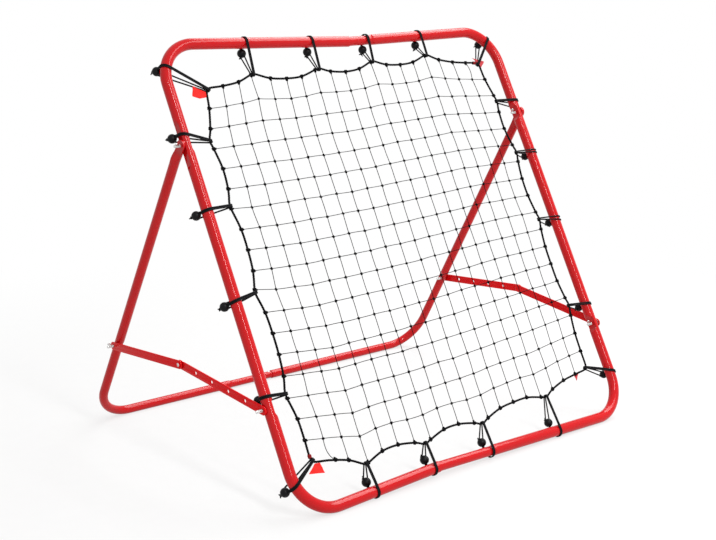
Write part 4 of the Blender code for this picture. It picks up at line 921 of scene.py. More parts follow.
def bar(end, label, hinge, angle, slant, lateral, holed):
    """A strip with round ends, turned about its bolt, its open holes punched along the middle."""
    radius = BAR_WIDTH / 2
    outline = []
    for middle, start in ((BAR_LENGTH + BAR_END_MARGIN, 0.0), (-BAR_END_MARGIN, math.pi)):
        for k in range(17):
            a = start + math.pi * k / 16
            outline.append((middle + radius * math.sin(a), radius * math.cos(a)))
    pitch = BAR_LENGTH / (BAR_HOLE_COUNT - 1)
    places = [k * pitch for k in range(BAR_HOLE_COUNT)] if holed else [0.0, BAR_LENGTH]
    holes = [(x, BOLT_RADIUS + HOLE_CLEARANCE) for x in places]
    side = SIDES[label]
    run = Vector((0.0, math.cos(angle), math.sin(angle)))
    across = Vector((side, 0.0, 0.0)) * math.cos(slant) - run * math.sin(slant)
    ahead = Vector((side, 0.0, 0.0)) * math.sin(slant) + run * math.cos(slant)
    turn = Matrix((ahead, across.cross(ahead), across)).transposed().to_4x4()
    middle = Vector((side * (FRONT_HALF + lateral + BAR_THICKNESS / 2), *hinge)) + SHIFT
    mesh = outline_mesh(outline, holes, BAR_THICKNESS, BAR_EDGE)
    name = f"{end}_brace_bar_{label}"
    item = mesh_item(name + "_strip", mesh, Matrix.Translation(middle) @ turn, LIT_BAR_PAINT)
    place(item, f"{end}_bar_{label}", "red_paint", name)


def lathe(profile, sides, closed=False):
    """Rings about the X axis from (distance along X, radius) pairs, in a new shape."""
    shape = Shape()
    shape.tube([axle_ring(x, radius, sides) for x, radius in profile], closed=closed)
    return shape


def placed(shape, x, spot, heading):
    """Moves a shape made along +X so that it starts at x beside a spot and runs along +X or -X."""
    for point in shape.points:
        if heading < 0:
            point.x = -point.x
            point.y = -point.y
        point += Vector((x, *spot)) + SHIFT
    return shape


def turned(shape, centre, axis):
    """Moves a shape made about the X axis so that it lies about another axis through a centre."""
    turn = Vector((1, 0, 0)).rotation_difference(axis).to_matrix()
    for point in shape.points:
        point.xyz = turn @ point + centre
    return shape


def steel_part(name, ending, shape, body):
    place(shape.build(name + ending, STEEL, 30), body, "zinc_steel", name)


def thread(start, end, radius):
    """Crests and roots of a thread along X, and the bolt's chamfered end."""
    root = radius - 0.0004
    profile = []
    x = start
    while x + THREAD_PITCH < end:
        profile += [(x, root), (x + THREAD_PITCH * 0.4, radius), (x + THREAD_PITCH * 0.6, radius)]
        x += THREAD_PITCH
    return profile + [(end - 0.0004, radius - 0.0003), (end, radius - 0.0009)]


def dome(radius, height):
    """Outline of a round head from its crown to the middle of its underside's rim."""
    profile = []
    for a in [math.pi / 2 * k / 8 for k in range(9)]:
        profile.append((-height * math.cos(a), WORN_EDGE + (radius - WORN_EDGE) * math.sin(a) ** 0.8))
    return profile + [(-0.0002, radius), (0.0, radius - WORN_EDGE)]


def bolt(name, head_x, end_x, spot, body, threaded=0.013, head=HEAD_RADIUS):
    """A round-headed bolt from under its head to its end, with the last part threaded."""
    length = abs(end_x - head_x)
    start = length - min(threaded, length - 0.001)
    profile = dome(head, HEAD_HEIGHT) + [(0.0, BOLT_RADIUS), (start - 0.0002, BOLT_RADIUS)]
    profile += thread(start, length, BOLT_RADIUS)
    steel_part(name, "_turned", placed(lathe(profile, 28), head_x, spot, end_x - head_x), body)


def painted_head(name, head_x, spot, body, profile, closed=False):
    """Paint over a middle bolt's head, or round it."""
    shape = placed(lathe(profile, 36, closed), head_x, spot, 1)
    place(shape.build(name, LIT_BAR_PAINT, 30), body, "red_paint")


def curve_weights(t):
    """Shares of four neighbours in a smooth curve, a part t of the way from the second to the third."""
    return (
        (-t + 2 * t * t - t * t * t) / 2, (2 - 5 * t * t + 3 * t * t * t) / 2,
        (t + 4 * t * t - 3 * t * t * t) / 2, (-t * t + t * t * t) / 2,
    )


def smooth_outline(points, steps):
    """A closed smooth line through the points."""
    count = len(points)
    made = []
    for i in range(count):
        four = [points[(i + k - 1) % count] for k in range(4)]
        for weights in [curve_weights(s / steps) for s in range(steps)]:
            made.append([sum(w * point[c] for w, point in zip(weights, four)) for c in (0, 1)])
    return made


def wing_nut_mesh():
    """A wing nut along +X from its seat: a tapered hub with a threaded bore and two curled wings."""
    bore = BOLT_RADIUS + 0.0003
    hub_radius = WING_HUB_RADIUS
    height = WING_HUB_HEIGHT
    profile = [
        (0.0004, bore), (0.0, bore + 0.0004), (0.0, hub_radius - 0.0003), (0.0003, hub_radius),
        (0.0016, hub_radius), (0.0024, hub_radius - 0.0004), (height - 0.0006, hub_radius - 0.0010),
        (height, hub_radius - 0.0016), (height, bore + 0.0004), (height - 0.0004, bore),
    ]
    hub = lathe(profile, 36, closed=True).build("hub", STEEL)
    outline = [
        (bore + 0.0007, height * 0.40), (hub_radius + 0.0014, height * 0.66),
        (WING_TIP - 0.0022, height * 0.80), (WING_TIP, height * 1.12),
        (WING_TIP - 0.0008, WING_HEIGHT - 0.0010), (WING_TIP - 0.0036, WING_HEIGHT - 0.0004),
        (hub_radius + 0.0006, height * 1.22), (bore + 0.0010, height - 0.0010),
    ]
    for side in (-1, 1):
        mesh = outline_mesh(smooth_outline(outline, 6), [], WING_THICKNESS, 0.0007)
        turn = Matrix(((0, 1, 0), (side, 0, 0), (0, 0, 1))).to_4x4()
        combine(hub, mesh_item("wing", mesh, turn, STEEL), "UNION")
    made = final_mesh(hub)
    for item in [o for o in bpy.data.objects if o.name.startswith(("hub", "wing"))]:
        bpy.data.objects.remove(item)
    return made


def wing_nut(name, mesh, seat_x, spot, turn):
    """A wing nut that points to -X from its seat, its wings turned about the bolt."""
    matrix = Matrix.Translation(Vector((seat_x, *spot)) + SHIFT)
    matrix = matrix @ Matrix.Rotation(math.pi, 4, "Z") @ Matrix.Rotation(turn, 4, "X")
    place(mesh_item(name + "_cast", mesh, matrix, STEEL), name, "zinc_steel", name)


def hex_nut(name, seat_x, stub_x, spot, body):
    """A hexagonal nut with chamfered corners and the bolt's end in it."""
    sides = 48
    inside = HEX_FLATS / 2 * 0.96

    def hex_ring(x, inward):
        points = []
        for a in [2 * math.pi * k / sides for k in range(sides)]:
            reach = HEX_FLATS / 2 / math.cos((a + math.pi / 6) % (math.pi / 3) - math.pi / 6)
            depth = (reach - inside) * 0.45
            points.append(Vector((x + inward * depth, reach * math.cos(a), reach * math.sin(a))))
        return points

    stub = [(HEX_HEIGHT, inside), (HEX_HEIGHT, BOLT_RADIUS + 0.0006), (HEX_HEIGHT - 0.0006, BOLT_RADIUS)]
    stub += thread(HEX_HEIGHT - 0.0004, HEX_HEIGHT + 0.0015, BOLT_RADIUS - 0.0001)
    rings = [axle_ring(0.0, inside, sides), hex_ring(0.0, 1), hex_ring(HEX_HEIGHT, -1)]
    shape = Shape()
    shape.tube(rings + [axle_ring(x, radius, sides) for x, radius in stub])
    steel_part(name, "_turned", placed(shape, seat_x, spot, seat_x - stub_x), body)


def washer(name, start_x):
    """A washer between the front frame and the brace."""
    edge = 0.0002
    t = WASHER_THICKNESS
    bore = BOLT_RADIUS + 0.0006
    profile = [(0, bore + edge), (0, WASHER_RADIUS - edge), (edge, WASHER_RADIUS), (t - edge, WASHER_RADIUS)]
    profile += [(t, WASHER_RADIUS - edge), (t, bore + edge), (t - edge, bore), (edge, bore)]
    steel_part(name, "_disc", placed(lathe(profile, 40, closed=True), start_x, FRONT_BRACE, 1), "front_frame")


def rear_screw():
    """The small domed screw on top of the rear bar's reduced end, with a cross recess."""
    crown = 0.0022
    profile = []
    for a in [math.pi / 2 * k / 7 for k in range(8)]:
        profile.append((crown * math.cos(a), 0.0002 + 0.0032 * math.sin(a)))
    shape = lathe(profile + [(0.0, 0.0034), (0.0, 0.0020), (-0.006, 0.0020)], 28)
    for point in shape.points:
        point.x, point.z = -point.z, point.x
    item = shape.build("rear_bar_screw_head", STEEL, 30)
    for turn in (0, 1):
        mesh = bpy.data.meshes.new("slot")
        edit = bmesh.new()
        spin = Matrix.Rotation(turn * math.pi / 2, 4, "Z")
        matrix = Matrix.Translation((0, 0, crown)) @ spin @ Matrix.Diagonal((0.0032, 0.0007, 0.0024, 1))
        bmesh.ops.create_cube(edit, size=1.0, matrix=matrix)
        edit.to_mesh(mesh)
        edit.free()
        combine(item, linked("slot", mesh), "DIFFERENCE")
    made = final_mesh(item)
    for leftover in [o for o in bpy.data.objects if o.name.startswith("slot")] + [item]:
        bpy.data.objects.remove(leftover)
    low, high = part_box("rear_bar_screw")
    spot = Vector(((low.x + high.x) / 2, (low.y + high.y) / 2, high.z - crown))
    screw = mesh_item("rear_bar_screw_head", made, Matrix.Translation(spot), STEEL)
    place(screw, "rear_stand", "zinc_steel", "rear_bar_screw")


def braces_and_fasteners():
    """The bars, the bolts with wing nuts at their ends, and the bolts at the middle of the braces."""
    front_angle = BRACE_SLOPE + BAR_ANGLE
    rear_angle = math.pi + BRACE_SLOPE - BAR_ANGLE
    for label in SIDES:
        bar("front", label, FRONT_BRACE, front_angle, BAR_SLANT, FRONT_BAR_INNER, label == "left")
        bar("rear", label, REAR_BRACE, rear_angle, 0.0, REAR_BAR_INNER, label == "right")
    nut = wing_nut_mesh()
    seats = (
        ("pivot", PIVOT, PIVOT_RECESS, SPADE_OUTER, "front_frame", (35, 70)),
        ("front_brace", FRONT_BRACE, BRACE_RECESS, FRONT_BAR_OUTER + 0.0003, "front_frame", (20, 80)),
        ("rear_brace", REAR_BRACE, LEG_RECESS, REAR_BAR_OUTER, "rear_stand", (65, 10)),
    )
    reach = WING_HUB_HEIGHT + 0.003
    for label, spot, inside, outside, body, turns in seats:
        inner = FRONT_HALF + inside - SEAT_GAP
        outer = FRONT_HALF + outside + SEAT_GAP
        for side, head, seat, turn in (("left", -inner, -outer, turns[0]), ("right", outer, inner, turns[1])):
            bolt(f"{label}_bolt_{side}", head, seat - reach, spot, body)
            wing_nut(f"{label}_wing_nut_{side}", nut, seat, spot, math.radians(turn))
    ahead = (BAR_LENGTH * math.cos(front_angle), BAR_LENGTH * math.sin(front_angle))
    middle = (FRONT_BRACE[0] + ahead[0], FRONT_BRACE[1] + ahead[1])
    inner = FRONT_HALF + MIDDLE_INNER - 0.0005
    outer = FRONT_HALF + REAR_BAR_OUTER + SEAT_GAP
    parting = FRONT_HALF + REAR_BAR_INNER
    bolt("middle_bolt_left", -outer, -parting, middle, "rear_bar_left", 0.001, MIDDLE_HEAD_RADIUS)
    flange = [
        (-0.0004, MIDDLE_HEAD_RADIUS - 0.0006), (-0.0016, MIDDLE_HEAD_RADIUS + 0.0001),
        (-0.0015, HEAD_RADIUS - 0.0006), (-0.0010, HEAD_RADIUS), (-0.0001, HEAD_RADIUS),
    ]
    crown = -HEAD_HEIGHT - 0.0002
    plug = [(crown, 0.0001), (crown, 0.0010), (-HEAD_HEIGHT + 0.0002, 0.0014), (-0.0010, 0.0012)]
    painted_head("middle_bolt_left_flange", -outer, middle, "rear_bar_left", flange, True)
    painted_head("middle_bolt_left_plug", -outer, middle, "rear_bar_left", plug)
    hex_nut("middle_nut_left", -inner, -parting, middle, "front_bar_left")
    bolt("middle_bolt_right", inner, parting - 0.0006, middle, "front_bar_right", 0.001, MIDDLE_HEAD_RADIUS)
    cap = dome(HEAD_RADIUS, HEAD_HEIGHT + 0.0004)
    painted_head("middle_bolt_right_paint", inner, middle, "front_bar_right", cap)
    hex_nut("middle_nut_right", outer, parting, middle, "rear_bar_right")
    face = FRONT_HALF + FRONT_RADIUS + SEAT_GAP
    washer("brace_washer_left", -face - WASHER_THICKNESS)
    washer("brace_washer_right", face)
    rear_screw()


# Net

def soft_distance(distance):
    """A distance from a loop that stays 0 under it and grows smoothly beyond."""
    beyond = max(abs(distance) - LOOP_KEEP_OUT, 0.0)
    return math.sqrt(beyond * beyond + TENT_TIP_RADIUS * TENT_TIP_RADIUS) - TENT_TIP_RADIUS


def interpolate(x, points):
    """Height of a line through points, drawn on past its ends."""
    for (x0, y0), (x1, y1) in zip(points, points[1:]):
        if x <= x1 or (x1, y1) == points[-1]:
            return y0 + (y1 - y0) * (x - x0) / (x1 - x0)


def net_side(side):
    """A side of the net: its resting line under its tents, and the tents' height and sign."""
    sign = 1 if side in ("top", "right") else -1
    if side in SIDES:
        tent = SIDE_TENT
        corners = [NET_CORNERS["bottom_" + side][::-1], NET_CORNERS["top_" + side][::-1]]
    else:
        tent = END_TENT
        corners = [NET_CORNERS[side + "_left"], NET_CORNERS[side + "_right"]]
    peaks = [(spot, pulled - sign * tent) for _, spot, pulled in LOOPS[side]]
    return [corners[0], *peaks, corners[1]], tent, sign


NET_SIDES = {side: net_side(side) for side in LOOPS}


def side_peaks(side):
    return [point[0] for point in NET_SIDES[side][0][1:-1]]


def side_level(side, spot):
    """Resting level and tent height of a side at a place along it."""
    line, tent, sign = NET_SIDES[side]
    height = sum(tent * math.exp(-soft_distance(spot - peak) / TENT_REACH) for peak in side_peaks(side))
    return interpolate(spot, line), sign * height


def kept_clear(spot, peaks):
    """A strand's place along the rope, moved aside where a loop sits."""
    for peak in peaks:
        if abs(spot - peak) < 1.5 * LOOP_KEEP_OUT:
            return peak + math.copysign(LOOP_KEEP_OUT, spot - peak)
    return spot


def side_point(side, spot):
    level, tent = side_level(side, spot)
    return Vector((level + tent, spot) if side in SIDES else (spot, level + tent))


def side_ends(side):
    line = NET_SIDES[side][0]
    return line[0][0], line[-1][0]


def strand_places(side):
    count = NET_ROWS if side in SIDES else NET_COLUMNS
    start, end = side_ends(side)
    peaks = side_peaks(side)
    return [kept_clear(start + (end - start) * k / count, peaks) for k in range(1, count)]


def rope_points():
    """The rope's middle line, once round the net: each side's strands and tents, and a cut corner."""
    loop = []
    for side, backwards in (("top", False), ("right", True), ("bottom", True), ("left", False)):
        start, end = side_ends(side)
        places = set(strand_places(side))
        for peak in side_peaks(side):
            places |= {peak - LOOP_KEEP_OUT, peak, peak + LOOP_KEEP_OUT}
        start += ROPE_CORNER_CUT
        end -= ROPE_CORNER_CUT
        kept = [start]
        for spot in sorted(spot for spot in places if start < spot < end) + [end]:
            if spot - kept[-1] > 1e-6:
                kept.append(spot)
        points = [side_point(side, spot) for spot in kept]
        loop += reversed(points) if backwards else points
    return loop


def net_knot(i, j):
    """Place of the net's knot in column line i and row line j."""
    across = i / NET_COLUMNS
    up = j / NET_ROWS
    levels = []
    for side, share in (("left", up), ("right", up), ("bottom", across), ("top", across)):
        start, end = side_ends(side)
        levels.append(side_level(side, start + (end - start) * share))
    (left, left_tent), (right, right_tent), (bottom, bottom_tent), (top, top_tent) = levels
    u = left + (right - left) * across
    v = bottom + (top - bottom) * up
    pull_u = left_tent * math.exp((left - u) / TENT_FADE) + right_tent * math.exp((u - right) / TENT_FADE)
    pull_v = bottom_tent * math.exp((bottom - v) / TENT_FADE) + top_tent * math.exp((v - top) / TENT_FADE)
    return Vector((u + pull_u, v + pull_v))


def smooth_path(points, step, closed=False):
    """A curve through points, with new points about one step apart."""
    count = len(points)
    made = []
    for i in range(count if closed else count - 1):
        if closed:
            four = [points[(i + k - 1) % count] for k in range(4)]
        else:
            four = [points[min(max(i + k - 1, 0), count - 1)] for k in range(4)]
        pieces = max(1, round((four[2] - four[1]).length / step))
        for weights in [curve_weights(s / pieces) for s in range(pieces)]:
            made.append(sum((point * w for point, w in zip(four, weights)), Vector((0, 0, 0))))
    return made if closed else made + [points[-1]]


def knot_path(centre, size, turn):
    """A tight overhand knot as a closed path."""
    points = []
    for t in [2 * math.pi * k / 20 for k in range(20)]:
        across = (math.sin(t) + 2 * math.sin(2 * t)) / 3
        up = (math.cos(t) - 2 * math.cos(2 * t)) / 3
        points.append(centre + turn @ Vector((across, up, -0.42 * math.sin(3 * t))) * size)
    return points


def tie_path(centre, heading):
    """A short coil of twine round the rope at a point, running along the rope's heading."""
    side = FRONT_TURN @ Vector((0, 0, 1))
    out = heading.cross(side).normalized()
    points = []
    reach = ROPE_RADIUS + TWINE_RADIUS
    count = int(TIE_TURNS * 10)
    for share in [k / count for k in range(count + 1)]:
        a = 2 * math.pi * TIE_TURNS * share
        shift = heading * (TIE_WIDTH * (share - 0.5))
        points.append(centre + shift + (out * math.cos(a) + side * math.sin(a)) * reach)
    return points


def net_strand(shape, start, end, sag, slack=None):
    """One twine strand between two knots, a little slack and a little uneven."""
    along_it = end - start
    bow = Vector((chance.uniform(-1, 1), chance.uniform(-1, 1), chance.uniform(-1, 1)))
    bow = (bow - along_it * (bow.dot(along_it) / along_it.length_squared)).normalized() * sag
    if slack:
        bow = FRONT_TURN @ Vector((*slack, 0.0))
    steps = 12 if slack else 4
    shares = [k / steps for k in range(steps + 1)]
    shape.cord([start + along_it * t + bow * (4 * t * (1 - t)) for t in shares], TWINE_RADIUS, 6)


def rope_at(side, spot):
    """A point of the rope on one side of the net, and the rope's direction there."""
    here = side_point(side, spot)
    ahead = side_point(side, spot + 0.001) - side_point(side, spot - 0.001)
    return front_point(here.x, here.y), front_heading(ahead)


def net():
    """The net: strands between its knots, and each outer strand tied to the rope."""
    shape = Shape()
    spots = {}
    for i in range(1, NET_COLUMNS):
        for j in range(1, NET_ROWS):
            knot = net_knot(i, j)
            knot += Vector((chance.uniform(-1, 1), chance.uniform(-1, 1))) * UNEVEN_PLACE
            spots[i, j] = front_point(knot.x, knot.y, chance.uniform(-UNEVEN_DEPTH, UNEVEN_DEPTH))
    for (i, j), spot in spots.items():
        for beside in ((i + 1, j), (i, j + 1)):
            if beside in spots:
                net_strand(shape, spot, spots[beside], TWINE_BOW)
        lean = FRONT_TURN @ Matrix.Rotation(chance.uniform(0, math.pi), 3, "Z")
        lean = lean @ Matrix.Rotation(chance.uniform(-0.5, 0.5), 3, "X")
        shape.cord(knot_path(spot, KNOT_SIZE, lean), KNOT_CORD, 6, closed=True)
        shape.ball(spot, KNOT_BODY, lean)
    ends = []
    for j in range(1, NET_ROWS):
        ends += [("left", j, spots[1, j]), ("right", j, spots[NET_COLUMNS - 1, j])]
    for i in range(1, NET_COLUMNS):
        ends += [("bottom", i, spots[i, 1]), ("top", i, spots[i, NET_ROWS - 1])]
    for side, number, knot in ends:
        moved, slack = SLACK_STRANDS.get((side, number), (0.0, None))
        centre, heading = rope_at(side, strand_places(side)[number - 1] + moved)
        net_strand(shape, knot, centre, END_BOW, slack)
        shape.cord(tie_path(centre, heading), KNOT_CORD, 6)
        inward = (knot - centre).normalized()
        tilt = FRONT_TURN @ Matrix.Rotation(chance.uniform(0, math.pi), 3, "Z")
        tie_knot = knot_path(centre + inward * TIE_KNOT_PLACE, TIE_KNOT_SIZE, tilt)
        shape.cord(tie_knot, TIE_KNOT_CORD, 6, closed=True)
    place(shape.build("net_twine", TWINE, fix_normals=False), "front_frame", "black_twine", "net")


def edges(points):
    """Each point with the next one, once round."""
    return zip(points, points[1:] + points[:1])


def border_rope():
    """The three-strand rope round the net."""
    flat = smooth_path([Vector((p.x, p.y, 0)) for p in rope_points()], ROPE_STEP, closed=True)
    path = [front_point(p.x, p.y) for p in flat]
    length = sum((b - a).length for a, b in edges(path))
    twist = 2 * math.pi * round(length / ROPE_LAY) / length
    shape = Shape()
    shape.cord(path, ROPE_RADIUS * 0.93, 14, closed=True, lobes=3, twist=twist, flat=0.09)
    item = shape.build("border_rope_laid", ROPE, fix_normals=False)
    place(item, "front_frame", "black_twine", "border_rope")


# Elastic loops

def between(start, end, pieces):
    """The points that part the way between two others into equal pieces."""
    shares = [k / pieces for k in range(1, pieces)]
    return [(start[0] + (end[0] - start[0]) * s, start[1] + (end[1] - start[1]) * s) for s in shares]


def belt(circles, step):
    """Points of a belt run anticlockwise round circles, each (x, y, radius)."""
    touch = []
    for (x0, y0, r0), (x1, y1, r1) in edges(circles):
        heading = math.atan2(y1 - y0, x1 - x0)
        touch.append(heading - math.acos((r0 - r1) / math.hypot(x1 - x0, y1 - y0)))
    points = []
    for i, (x, y, radius) in enumerate(circles):
        start = touch[i - 1]
        end = touch[i]
        while end < start:
            end += 2 * math.pi
        pieces = max(2, math.ceil((end - start) / step))
        arc = []
        for a in [start + (end - start) * k / pieces for k in range(pieces + 1)]:
            arc.append((x + radius * math.cos(a), y + radius * math.sin(a)))
        if points:
            points += between(points[-1], arc[0], 6)
        points += arc
    return points + between(points[-1], points[0], 6)


def holed_ball(centre, axis):
    """A moulded ball with a cord hole through it."""
    start = math.asin(BALL_BORE / BALL_RADIUS)
    inset = BALL_RADIUS * math.cos(start) - 0.0004
    profile = [(-inset, BALL_BORE)]
    for a in [start + (math.pi - 2 * start) * k / 18 for k in range(19)]:
        profile.append((-BALL_RADIUS * math.cos(a), BALL_RADIUS * math.sin(a)))
    return turned(lathe(profile + [(inset, BALL_BORE)], 32, closed=True), centre, axis)


def ball_share(path, centre):
    """For each point of a belt, 1 beside the ball and falling to 0 at the rope, on the way back only."""
    nearest = min(range(len(path)), key=lambda i: math.dist(path[i], centre))
    farthest = min(range(len(path)), key=lambda i: path[i][0])
    whole = math.dist(path[nearest], path[farthest])
    shares = []
    for i, spot in enumerate(path):
        shares.append(math.dist(spot, path[farthest]) / whole if nearest <= i <= farthest else 0.0)
    return shares


def elastic(name, wrap, direction, apex, rope, ball, spread=CORD_SPACING):
    """A doubled elastic cord round the tube and the rope, hooked over its ball behind the tube."""
    name = "elastic_" + name
    pull = apex - wrap
    outward = Vector((-direction.y, direction.x)).normalized()
    distance = abs(pull.dot(outward))
    stretch = pull.length / distance
    line = -pull.normalized()
    circles = [
        (0.0, 0.0, FRONT_RADIUS + 0.0001 + CORD_DEEP),
        (ball[0], ball[1], TURN_AT_BALL),
        (-distance, 0.0, ROPE_RADIUS + CORD_DEEP + 0.0002),
    ]
    along_tube = direction.normalized()
    along_rope = rope.normalized()
    if along_rope.dot(along_tube) < 0:
        along_rope = -along_rope
    shape = Shape()
    line_points = belt(circles, 0.22)
    shares = ball_share(line_points, ball)
    for strand in (-1, 1):
        path = []
        for (x, y), beside in zip(line_points, shares):
            share = min(max(-x / distance, 0.0), 1.0)
            sideways = along_tube.lerp(along_rope, share).normalized()
            apart = spread + (CORD_SPACING - spread) * share + (BALL_SPREAD - CORD_SPACING) * beside
            flat = wrap + line * (x * stretch) + sideways * (strand * apart)
            path.append(front_point(flat.x, flat.y, y))
        shape.oval_cord(path, front_heading(along_tube), CORD_WIDE, CORD_DEEP, 12)
    centre = wrap + line * (ball[0] * stretch)
    spot = front_point(centre.x, centre.y, ball[1])
    place(shape.build(name + "_cord", ELASTIC, fix_normals=False), "front_frame", "black_elastic", name)
    axis = (spot - front_point(wrap.x, wrap.y)).normalized()
    place(holed_ball(spot, axis).build(name + "_knob", PLASTIC, 30), "front_frame", "black_elastic")
    tail_knot(name, spot + axis * (BALL_RADIUS + 0.0010), axis)


def tail_knot(name, spot, axis):
    """The knot behind a ball that keeps the cord's two ends from slipping through, and the ends."""
    shape = Shape()
    turn = Vector((0, 0, 1)).rotation_difference(axis).to_matrix()
    turn = turn @ Matrix.Rotation(chance.uniform(0, math.pi), 3, "Z")
    knot = smooth_path(knot_path(spot, TAIL_KNOT_SIZE, turn), TAIL_STEP, closed=True)
    shape.cord(knot, CORD_DEEP, 8, closed=True)
    for sign in (-1, 1):
        lean = turn @ Vector((sign * 0.7, chance.uniform(-0.4, 0.4), 0.6)).normalized()
        droop = turn @ Vector((sign * 1.0, chance.uniform(-0.5, 0.5), 0.1)).normalized()
        length = chance.uniform(0.0035, 0.0060)
        tail = [spot, spot + lean * (length * 0.5), spot + lean * (length * 0.75) + droop * (length * 0.3)]
        shape.cord(smooth_path(tail, TAIL_STEP), CORD_DEEP, 8)
    place(shape.build(name + "_tail", ELASTIC, fix_normals=False), "front_frame", "black_elastic")


def level_wrap(height, u):
    """A point of the top or bottom tube at a place across it, and the tube's direction there."""
    joint = LINES[height + "_joint"]
    run = LINES[height + ("_right" if u > joint.x else "_left")] - joint
    return joint + run * ((u - joint.x) / run.x), run


def arc_wrap(height, side, angle):
    """A point of a corner's arc and the tube's direction there."""
    corner = LINES[f"{height}_{side}"]
    beyond = LINES[("bottom_" if height == "top" else "top_") + side]
    start, heading = corner_arc(LINES[height + "_joint"], corner, beyond, FRONT_CORNER_RADIUS, 1)[0]
    turn = 1 if heading.cross(beyond - corner) > 0 else -1
    centre = start + Vector((-heading.y, heading.x)) * (turn * FRONT_CORNER_RADIUS)
    spoke = Vector((math.cos(angle), math.sin(angle)))
    return centre + spoke * FRONT_CORNER_RADIUS, Vector((-spoke.y, spoke.x))


def corner_cut(height, side):
    """The two ends of the cut that the rope makes across a corner of the net."""
    u, v = NET_CORNERS[f"{height}_{side}"]
    into = ROPE_CORNER_CUT if height == "bottom" else -ROPE_CORNER_CUT
    return side_point(height, u - SIDES[side] * ROPE_CORNER_CUT), side_point(side, v + into)


def elastics():
    """Four loops on each side of the frame, then one at each corner."""
    across = Vector((1, 0))
    up = Vector((0, 1))
    for side, loops in LOOPS.items():
        spreads = RIGHT_SPREADS if side == "right" else [CORD_SPACING] * len(loops)
        for k, (tube_place, net_place, _) in enumerate(loops):
            if side in SIDES:
                wrap, direction, rope = Vector((SIDES[side] * FRONT_HALF, tube_place)), up, up
            else:
                wrap, direction, rope = *level_wrap(side, tube_place), across
            apex = side_point(side, net_place)
            elastic(f"{side}_{k + 1}", wrap, direction, apex, rope, BALLS[side][k], spreads[k])
    for name, ball in CORNER_BALLS.items():
        height, side = name.split("_")
        if name in CORNER_ANGLES:
            wrap, direction = arc_wrap(height, side, math.radians(CORNER_ANGLES[name]))
        else:
            wrap, direction = Vector((FRONT_HALF, BOTTOM_RIGHT_PLACE)), up
        first, second = corner_cut(height, side)
        elastic(name, wrap, direction, (first + second) / 2, second - first, ball)


# Fabric tabs

def inside(spot, outline):
    """Whether a point lies inside an outline."""
    x, y = spot
    found = False
    for (x0, y0), (x1, y1) in edges(outline):
        if (y0 > y) != (y1 > y) and x < (x1 - x0) * (y - y0) / (y1 - y0) + x0:
            found = not found
    return found


def edge_distance(spot, outline):
    """How far a point lies from the nearest edge of an outline."""
    nearest = 1.0
    for first, last in edges(outline):
        start = Vector(first)
        run = Vector(last) - start
        share = min(max((Vector(spot) - start).dot(run) / run.length_squared, 0.0), 1.0)
        nearest = min(nearest, (Vector(spot) - start - run * share).length)
    return nearest


def binding(label, side, spot):
    """A turn of strap sewn tight round the rope beside a corner."""
    reach = ROPE_RADIUS + 0.0003
    profile = [
        (-0.0036, reach), (-0.0038, reach + 0.0006), (-0.0030, reach + 0.0012), (-0.0010, reach + 0.0010),
        (0.0012, reach + 0.0013), (0.0032, reach + 0.0010), (0.0038, reach + 0.0005), (0.0036, reach),
    ]
    shape = turned(lathe(profile, 28, closed=True), *rope_at(side, spot))
    # The strap here is darkened with painted shade.
    place(shape.build("corner_binding_" + label, SHADED_BINDING_STRAP, 40), "front_frame", "red_strap")


def tab(label, outline, cloth):
    """A stitched piece of strap of the given outline: a little wavy, its rim turned over and thicker."""
    step = 0.0011
    rim = []
    for first, last in edges(outline):
        rim += [first] + between(first, last, math.ceil(math.dist(first, last) / step))
    low = [min(point[k] for point in outline) for k in (0, 1)]
    high = [max(point[k] for point in outline) for k in (0, 1)]
    spots = list(rim)
    for i in range(1, int((high[0] - low[0]) / step) + 1):
        for j in range(1, int((high[1] - low[1]) / step) + 1):
            spot = (low[0] + i * step, low[1] + j * step)
            if inside(spot, outline) and edge_distance(spot, outline) > step * 0.6:
                spots.append(spot)
    rim_edges = [(k, (k + 1) % len(rim)) for k in range(len(rim))]
    flat, _, triangles, *_ = delaunay_2d_cdt([Vector(spot) for spot in spots], rim_edges, [], 1, 1e-6)
    shape = Shape()
    corner = NET_CORNERS[label]
    count = len(flat)
    for face in (-1, 1):
        for spot in flat:
            wave = 0.0006 * math.sin(260 * spot.x + 140 * spot.y) + 0.0003 * math.sin(520 * spot.y)
            margin = edge_distance(spot, outline)
            half = TAB_HALF * (0.5 + 0.5 * min(margin / 0.0008, 1.0)) * (1.25 if margin < 0.0035 else 1.0)
            shape.points.append(front_point(corner[0] + spot.x, corner[1] + spot.y, wave + face * half))
    for triangle in triangles:
        runs = [(flat[k].x, flat[k].y) for k in triangle]
        shape.face([triangle[0], triangle[2], triangle[1]], [runs[0], runs[2], runs[1]])
        shape.face([count + k for k in triangle], runs)
    for k, j in rim_edges:
        shape.face([k, j, count + j, count + k])
    item = shape.build("corner_strap_" + label, cloth, 60)
    place(item, "front_frame", "red_strap", "corner_tab_" + label)
    area = 0.5 * abs(sum(a[0] * b[1] - b[0] * a[1] for a, b in edges(outline)))


# Floor, lights and camera

def white_rays(tree):
    """1 for the camera's own rays and for those that metal or glass sends on, else 0."""
    path = tree.nodes.new("ShaderNodeLightPath")
    seen = path.outputs["Is Camera Ray"]
    for ray in ("Is Glossy Ray", "Is Transmission Ray"):
        most = tree.nodes.new("ShaderNodeMath")
        most.operation = "MAXIMUM"
        tree.links.new(seen, most.inputs[0])
        tree.links.new(path.outputs[ray], most.inputs[1])
        seen = most.outputs["Value"]
    return seen


def mixed(tree, share, own, white, output):
    """Mixes white over a tree's own shader, by a share, and sends that to its output."""
    mix = tree.nodes.new("ShaderNodeMixShader")
    for k, source in enumerate((share, own, white)):
        tree.links.new(source, mix.inputs[k])
    tree.links.new(mix.outputs["Shader"], tree.nodes[output].inputs["Surface"])


